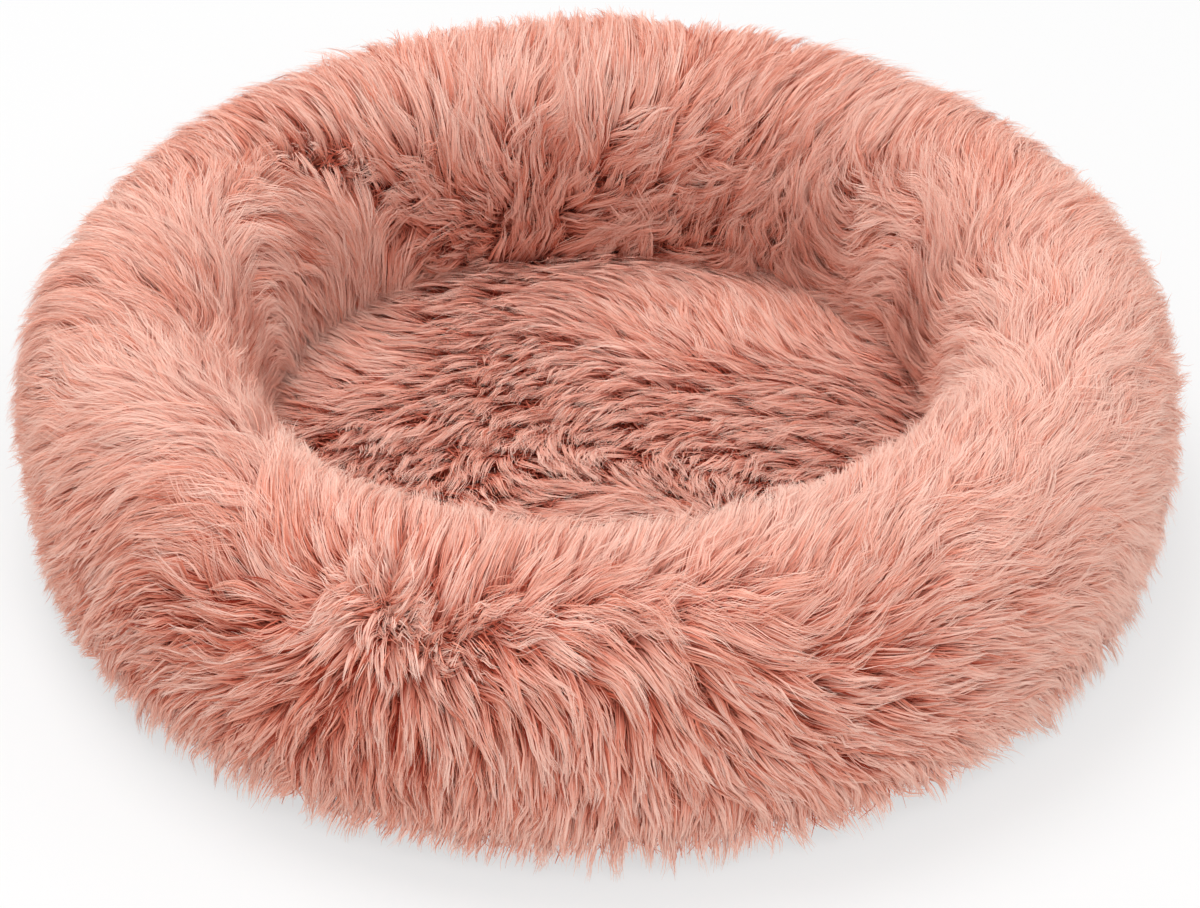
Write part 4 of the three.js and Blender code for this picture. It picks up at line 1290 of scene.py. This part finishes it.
def care_label():
    """A blank satin label, folded once."""
    width, depth, offset = 0.024, 0.026, 0.060
    sag, curl_height = 0.0003, 0.00008
    near = COIL_INNER + TAPE_WIDTH + CLEARANCE
    high, low, thickness = 0.00935, 0.00865, 0.00026
    level, bend = (high + low) / 2, (high - low) / 2
    straight = np.linspace(near, near + depth - bend - thickness / 2, 24)
    turn = np.linspace(0, math.pi, 9)[1:-1]
    y = np.concatenate([straight, straight[-1] + bend * np.sin(turn), straight[::-1]])
    z = np.concatenate([np.full(24, high), level + bend * np.cos(turn), np.full(24, low)])
    z = z - sag * ((y - near) / depth) ** 2
    x = np.linspace(0, width, 15)
    curl = curl_height * np.cos(x / width * FULL_TURN)[:, None] * ((y - near) / depth)
    middle = stacked((offset + x)[:, None], y, z + curl)
    piece = thick_sheet("care_label_satin", middle, thickness, label_satin)
    place_piece(piece, "label_satin", "care_label")


care_label()


# Inserts: bags of thin cloth with a stitched slit, and the fibre in them

INSERT_INSET = PILE_DEPTH + CLOTH + 2 * CLEARANCE + 0.0008
INSERT_COLUMNS = 288
INSERT_ROWS = 88
SLIT_HEIGHT = 0.020
SLIT_START = CROSS_SEAM_AZIMUTH + math.radians(82.5)
SLIT_END = CROSS_SEAM_AZIMUTH + math.radians(127.5)
BAG_CLOTH = 0.0006
FILL_GAP = 0.0006
INSERT_LOW = CLOTH + CLEARANCE
RING_PUCKERS = 96
RING_PUCKER_DEPTH = 0.0012
RING_PUCKER_REACH = 0.4
RING_SAG = 0.0005
RING_FIBRE_ROUGHNESS = 0.0014


def slit_opening(azimuth):
    """Half of the slit's width at each azimuth: 0 at its ends and beyond them."""
    share = np.clip((azimuth % FULL_TURN - SLIT_START) / (SLIT_END - SLIT_START), 0, 1)
    return SEAM_GAP / 2 * np.sqrt(np.sin(share * math.pi))


def puckers(azimuth, count):
    """Uneven folds along a seam, from 0 to 1."""
    return 0.5 + 0.5 * np.sin(azimuth * count + 1.7 * np.sin(azimuth * 11))


def insert_points(extra, roughness, opened):
    """The ring insert's surface: azimuth by the way round its section, from the slit to the slit."""
    inset = INSERT_INSET + extra
    turn = even_angles(INSERT_COLUMNS)
    start = math.pi - outer_angle(inset, SLIT_HEIGHT)
    angle = start + np.arange(INSERT_ROWS + 1) / INSERT_ROWS * FULL_TURN
    line = ring_point(inset, angle)
    line[:, 1] = np.maximum(line[:, 1], INSERT_LOW + extra)
    a, j = np.meshgrid(turn, np.arange(INSERT_ROWS + 1), indexing="ij")
    radius, height = drawn_in(line[j, 0], line[j, 1], a)
    steps = stacked(radius, height)
    steps = np.concatenate([steps[:, -2:-1], steps, steps[:, 1:2]], 1)
    tangent = unit(steps[:, 2:] - steps[:, :-2])
    section_angle = angle[j] - FULL_TURN
    share = np.interp(section_angle, section_angles, along_line(section_curve) / RING_SECTION,
                      left=0, right=1)
    near_seam = sum(np.exp(-(((section_angle - seam) / RING_PUCKER_REACH) ** 2)) for seam in (0, math.pi))
    folds = np.sin(41 * a + 3 * np.sin(5 * section_angle)) * np.sin(9 * section_angle + 2 * np.sin(13 * a))
    push = uneven(a, share) - RING_PUCKER_DEPTH * puckers(a, RING_PUCKERS) * near_seam
    push = push - RING_SAG * (0.5 + 0.5 * np.sin(23 * a + 4 * section_angle)) - roughness * (1 + folds) / 2
    radius, height = radius + push * tangent[..., 1], height - push * tangent[..., 0]
    height = np.maximum(height, INSERT_LOW + extra)
    if opened:
        height[:, 0] -= slit_opening(turn)
        height[:, -1] += slit_opening(turn)
    return polar(radius, a, height)


def used_only(points, faces):
    """Leaves out the points that no face uses."""
    kept, faces_now = np.unique(faces, return_inverse=True)
    return points.reshape(-1, 3)[kept], faces_now.reshape(faces.shape)


def wrapped(index, closed_at):
    """Welds the two edges of a bag's grid, but for its slit, and closes it round the ring."""
    index = index.copy()
    index[~closed_at, -1] = index[~closed_at, 0]
    return np.concatenate([index, index[:1]])


def slit_stitches(node, radius, height, way, kind):
    """Stitches that close a slit in a side that faces away from the bed's axis (way 1) or towards it (-1)."""
    turn = np.linspace(SLIT_START, SLIT_END, 90)
    stitches(node, polar(radius, turn, height), polar(way, turn, 0), kind)


def ring_bag():
    """The ring insert: its bag with an open slit, the fibre in it, and the stitches across the slit."""
    outer = insert_points(0, 0, True)
    inner = insert_points(BAG_CLOTH, 0, True)
    opened = slit_opening(even_angles(INSERT_COLUMNS)) > 1e-6
    index = numbered(outer)
    over, under = wrapped(index, opened), wrapped(index + index.size, opened)
    lips = np.flatnonzero(opened)
    lips = np.arange(lips[0] - 1, lips[-1] + 2)
    walls = [band(under[lips, -1], over[lips, -1]), band(over[lips, 0], under[lips, 0])]
    faces = np.concatenate([quads(over), quads(under)[:, ::-1], *walls])
    made = mesh_object("ring_insert_bag", *used_only(np.concatenate([outer, inner]), faces), liner_cloth)
    place_piece(made, "liner_cloth", "ring_insert_liner")
    fill = insert_points(BAG_CLOTH + FILL_GAP, RING_FIBRE_ROUGHNESS, False)
    over = wrapped(numbered(fill), np.zeros_like(opened))
    made = mesh_object("ring_insert_fibre", *used_only(fill, quads(over)), fibre_fill)
    place_piece(made, "fibre_fill", "ring_insert_filling")
    radius = inner_radius(INSERT_INSET + BAG_CLOTH / 2, SLIT_HEIGHT)
    slit_stitches("ring_insert_closing_stitch", radius, SLIT_HEIGHT, -1, RING_SLIT_STITCH)


ring_bag()

CUSHION_GRID = 97
CUSHION_RADIUS = CENTRE_RADIUS - 0.0012
CUSHION_CORNER = 0.008
CUSHION_PUCKERS = 84
CUSHION_PUCKER_DEPTH = 0.0016
CUSHION_PUCKER_REACH = 0.014
CUSHION_SAG = 0.0006
CUSHION_FIBRE_ROUGHNESS = 0.0012
CUSHION_LOW = RECESS_HEIGHT + CLOTH + CLEARANCE
CUSHION_SEAM_HEIGHT = (CUSHION_LOW + float(centre_top(CENTRE_RADIUS)) - PILE_DEPTH - CLEARANCE) / 2


def cushion_points(extra, roughness, side):
    """The upper or lower face of the cushion, out to its seam, drawn in by puckers along the seam."""
    hub, turn = CUSHION_RADIUS - CUSHION_CORNER, CUSHION_CORNER - extra
    flat = np.linspace(0, hub, 60)
    angle = np.linspace(math.pi / 2, 0, 12)[1:]
    top = centre_top(flat) - (PILE_DEPTH + CLOTH + CLEARANCE + extra)
    level = top if side > 0 else np.full(len(flat), CUSHION_LOW + extra)
    round_height = CUSHION_SEAM_HEIGHT + (level[-1] - CUSHION_SEAM_HEIGHT) * np.sin(angle)
    line = np.concatenate([stacked(flat, level), stacked(hub + turn * np.cos(angle), round_height)])
    along = along_line(line)
    unit_disc = disc_grid(CUSHION_GRID)
    share = np.minimum(np.linalg.norm(unit_disc, axis=-1), 1)
    azimuth = np.arctan2(unit_disc[..., 1], unit_disc[..., 0])
    radius = np.interp(share * along[-1], along, line[:, 0])
    height = np.interp(share * along[-1], along, line[:, 1])
    way = unit_disc / np.maximum(share, 1e-9)[..., None]
    place = way * radius[..., None]
    near_seam = np.exp(-(((CUSHION_RADIUS - radius) / CUSHION_PUCKER_REACH) ** 2))
    near_seam = near_seam * smoothstep(1 - share, 0, 0.02)
    inside = smoothstep(1 - share, 0, 0.1)
    lump = np.clip(0.5 + 0.5 * wavy_field(in_space(place), 0.05, 15 + side), 0, 1)
    sink = CUSHION_PUCKER_DEPTH * puckers(azimuth, CUSHION_PUCKERS) * near_seam
    sink = sink + (CUSHION_SAG + roughness) * lump * inside
    dimple = np.maximum(-dimples(place), 0) if side > 0 else 0
    height = height - side * (sink + dimple * inside)
    return in_space(place, height), azimuth % FULL_TURN, share > 1 - 1e-6


def cushion_layer(extra, roughness, opened, first):
    """Both faces of the cushion, as points and the numbers of those points, welded but for the slit."""
    upper, azimuth, rim = cushion_points(extra, roughness, 1)
    lower, _, _ = cushion_points(extra, roughness, -1)
    gap = np.where(rim, slit_opening(azimuth), 0) if opened else 0 * azimuth
    upper[..., 2] += gap
    lower[..., 2] -= gap
    over = first + np.arange(rim.size).reshape(rim.shape)
    under = over + rim.size
    under = np.where(rim & (gap < 1e-7), over, under)
    return np.concatenate([upper, lower]), over, under


def rim_loop(grid):
    """The grid's edge, anticlockwise, from its corner at -X and -Y."""
    return np.concatenate([grid[:-1, 0], grid[-1, :-1], grid[:0:-1, -1], grid[0, :0:-1], grid[:1, 0]])


def cushion_bag():
    """The cushion insert, made as the ring's is, from an upper and a lower face."""
    size = 2 * CUSHION_GRID ** 2
    outer, over, under = cushion_layer(0, 0, True, 0)
    inner, over_in, under_in = cushion_layer(BAG_CLOTH, 0, True, size)
    faces = [quads(over), quads(under)[:, ::-1], quads(over_in)[:, ::-1], quads(under_in)]
    loops = [rim_loop(grid) for grid in (over, under, over_in, under_in)]
    lips = np.flatnonzero(loops[0] != loops[1])
    lips = np.arange(lips[0] - 1, lips[-1] + 2)
    faces += [band(loops[0][lips], loops[2][lips]), band(loops[3][lips], loops[1][lips])]
    points, faces = used_only(np.concatenate([outer, inner]), np.concatenate(faces))
    made = mesh_object("cushion_insert_bag", points, faces, liner_cloth)
    place_piece(made, "liner_cloth", "cushion_insert_liner")
    fill, over, under = cushion_layer(BAG_CLOTH + FILL_GAP, CUSHION_FIBRE_ROUGHNESS, False, 0)
    faces = np.concatenate([quads(over), quads(under)[:, ::-1]])
    made = mesh_object("cushion_insert_fibre", *used_only(fill, faces), fibre_fill)
    place_piece(made, "fibre_fill", "cushion_insert_filling")
    radius = CUSHION_RADIUS - BAG_CLOTH / 2
    slit_stitches("cushion_insert_closing_stitch", radius, CUSHION_SEAM_HEIGHT, 1, CUSHION_SLIT_STITCH)


cushion_bag()


# Floor, lights and world

FLOOR_SIZE = 12
FLOOR_GLOW = 0.6
WORLD_LIGHT = 0.62


def mix_shaders(tree, share, first, second, output):
    """Shows two shaders mixed, the second by the given share."""
    mix = add_node(tree, "MixShader")
    for value, target in zip((share, first.outputs[0], second.outputs[0]), mix.inputs):
        tree.links.new(value, target)
    tree.links.new(mix.outputs[0], output.inputs["Surface"])


def make_world():
    """A world that the camera, glass and metal see as plain white, and that lights the bed less than that."""
    world = bpy.data.worlds.new("studio")
    world.use_nodes = True
    bpy.context.scene.world = world
    tree = world.node_tree
    tree.nodes.clear()
    paths = add_node(tree, "LightPath")
    seen, lit = add_node(tree, "Background"), add_node(tree, "Background")
    feed(tree, seen, Color=(1, 1, 1, 1), Strength=1)
    feed(tree, lit, Color=(1, 1, 1, 1), Strength=WORLD_LIGHT)
    share = maths(tree, "MAXIMUM", paths.outputs["Is Camera Ray"], paths.outputs["Is Glossy Ray"])
    share = maths(tree, "MAXIMUM", share, paths.outputs["Is Transmission Ray"])
    mix_shaders(tree, share, lit, seen, add_node(tree, "OutputWorld"))


def area_light(name, place, aim, size, power):
    data = bpy.data.lights.new(name, "AREA")
    data.shape = "DISK"
    data.size = size
    data.energy = power
    made = bpy.data.objects.new(name, data)
    bpy.context.scene.collection.objects.link(made)
    made.location = place
    made.rotation_mode = "QUATERNION"
    made.rotation_quaternion = (Vector(place) - Vector(aim)).to_track_quat("Z", "Y")


def make_floor():
    """A floor that takes shadows, and glows a little for the camera."""
    material, tree, shader = new_material("floor")
    feed(tree, shader, Base_Color=(0.84, 0.84, 0.84, 1), Roughness=1, Specular_IOR_Level=0)
    glow = add_node(tree, "Emission")
    feed(tree, glow, Strength=1)
    share = maths(tree, "MULTIPLY", add_node(tree, "LightPath").outputs["Is Camera Ray"], FLOOR_GLOW)
    mix_shaders(tree, share, shader, glow, tree.nodes["Material Output"])
    half = FLOOR_SIZE / 2
    corners = [(-half, -half, 0), (half, -half, 0), (half, half, 0), (-half, half, 0)]
    floor = mesh_object("floor", corners, [(0, 1, 2, 3)], material)


make_floor()
make_world()
area_light("key", (-0.5, 0.4, 2.4), (0, 0, 0.05), 1.2, 25)
area_light("fill", (0.3, -1.7, 2.0), (0, 0, 0.05), 1.8, 22)

scene = bpy.context.scene
scene.view_settings.view_transform = "Standard"
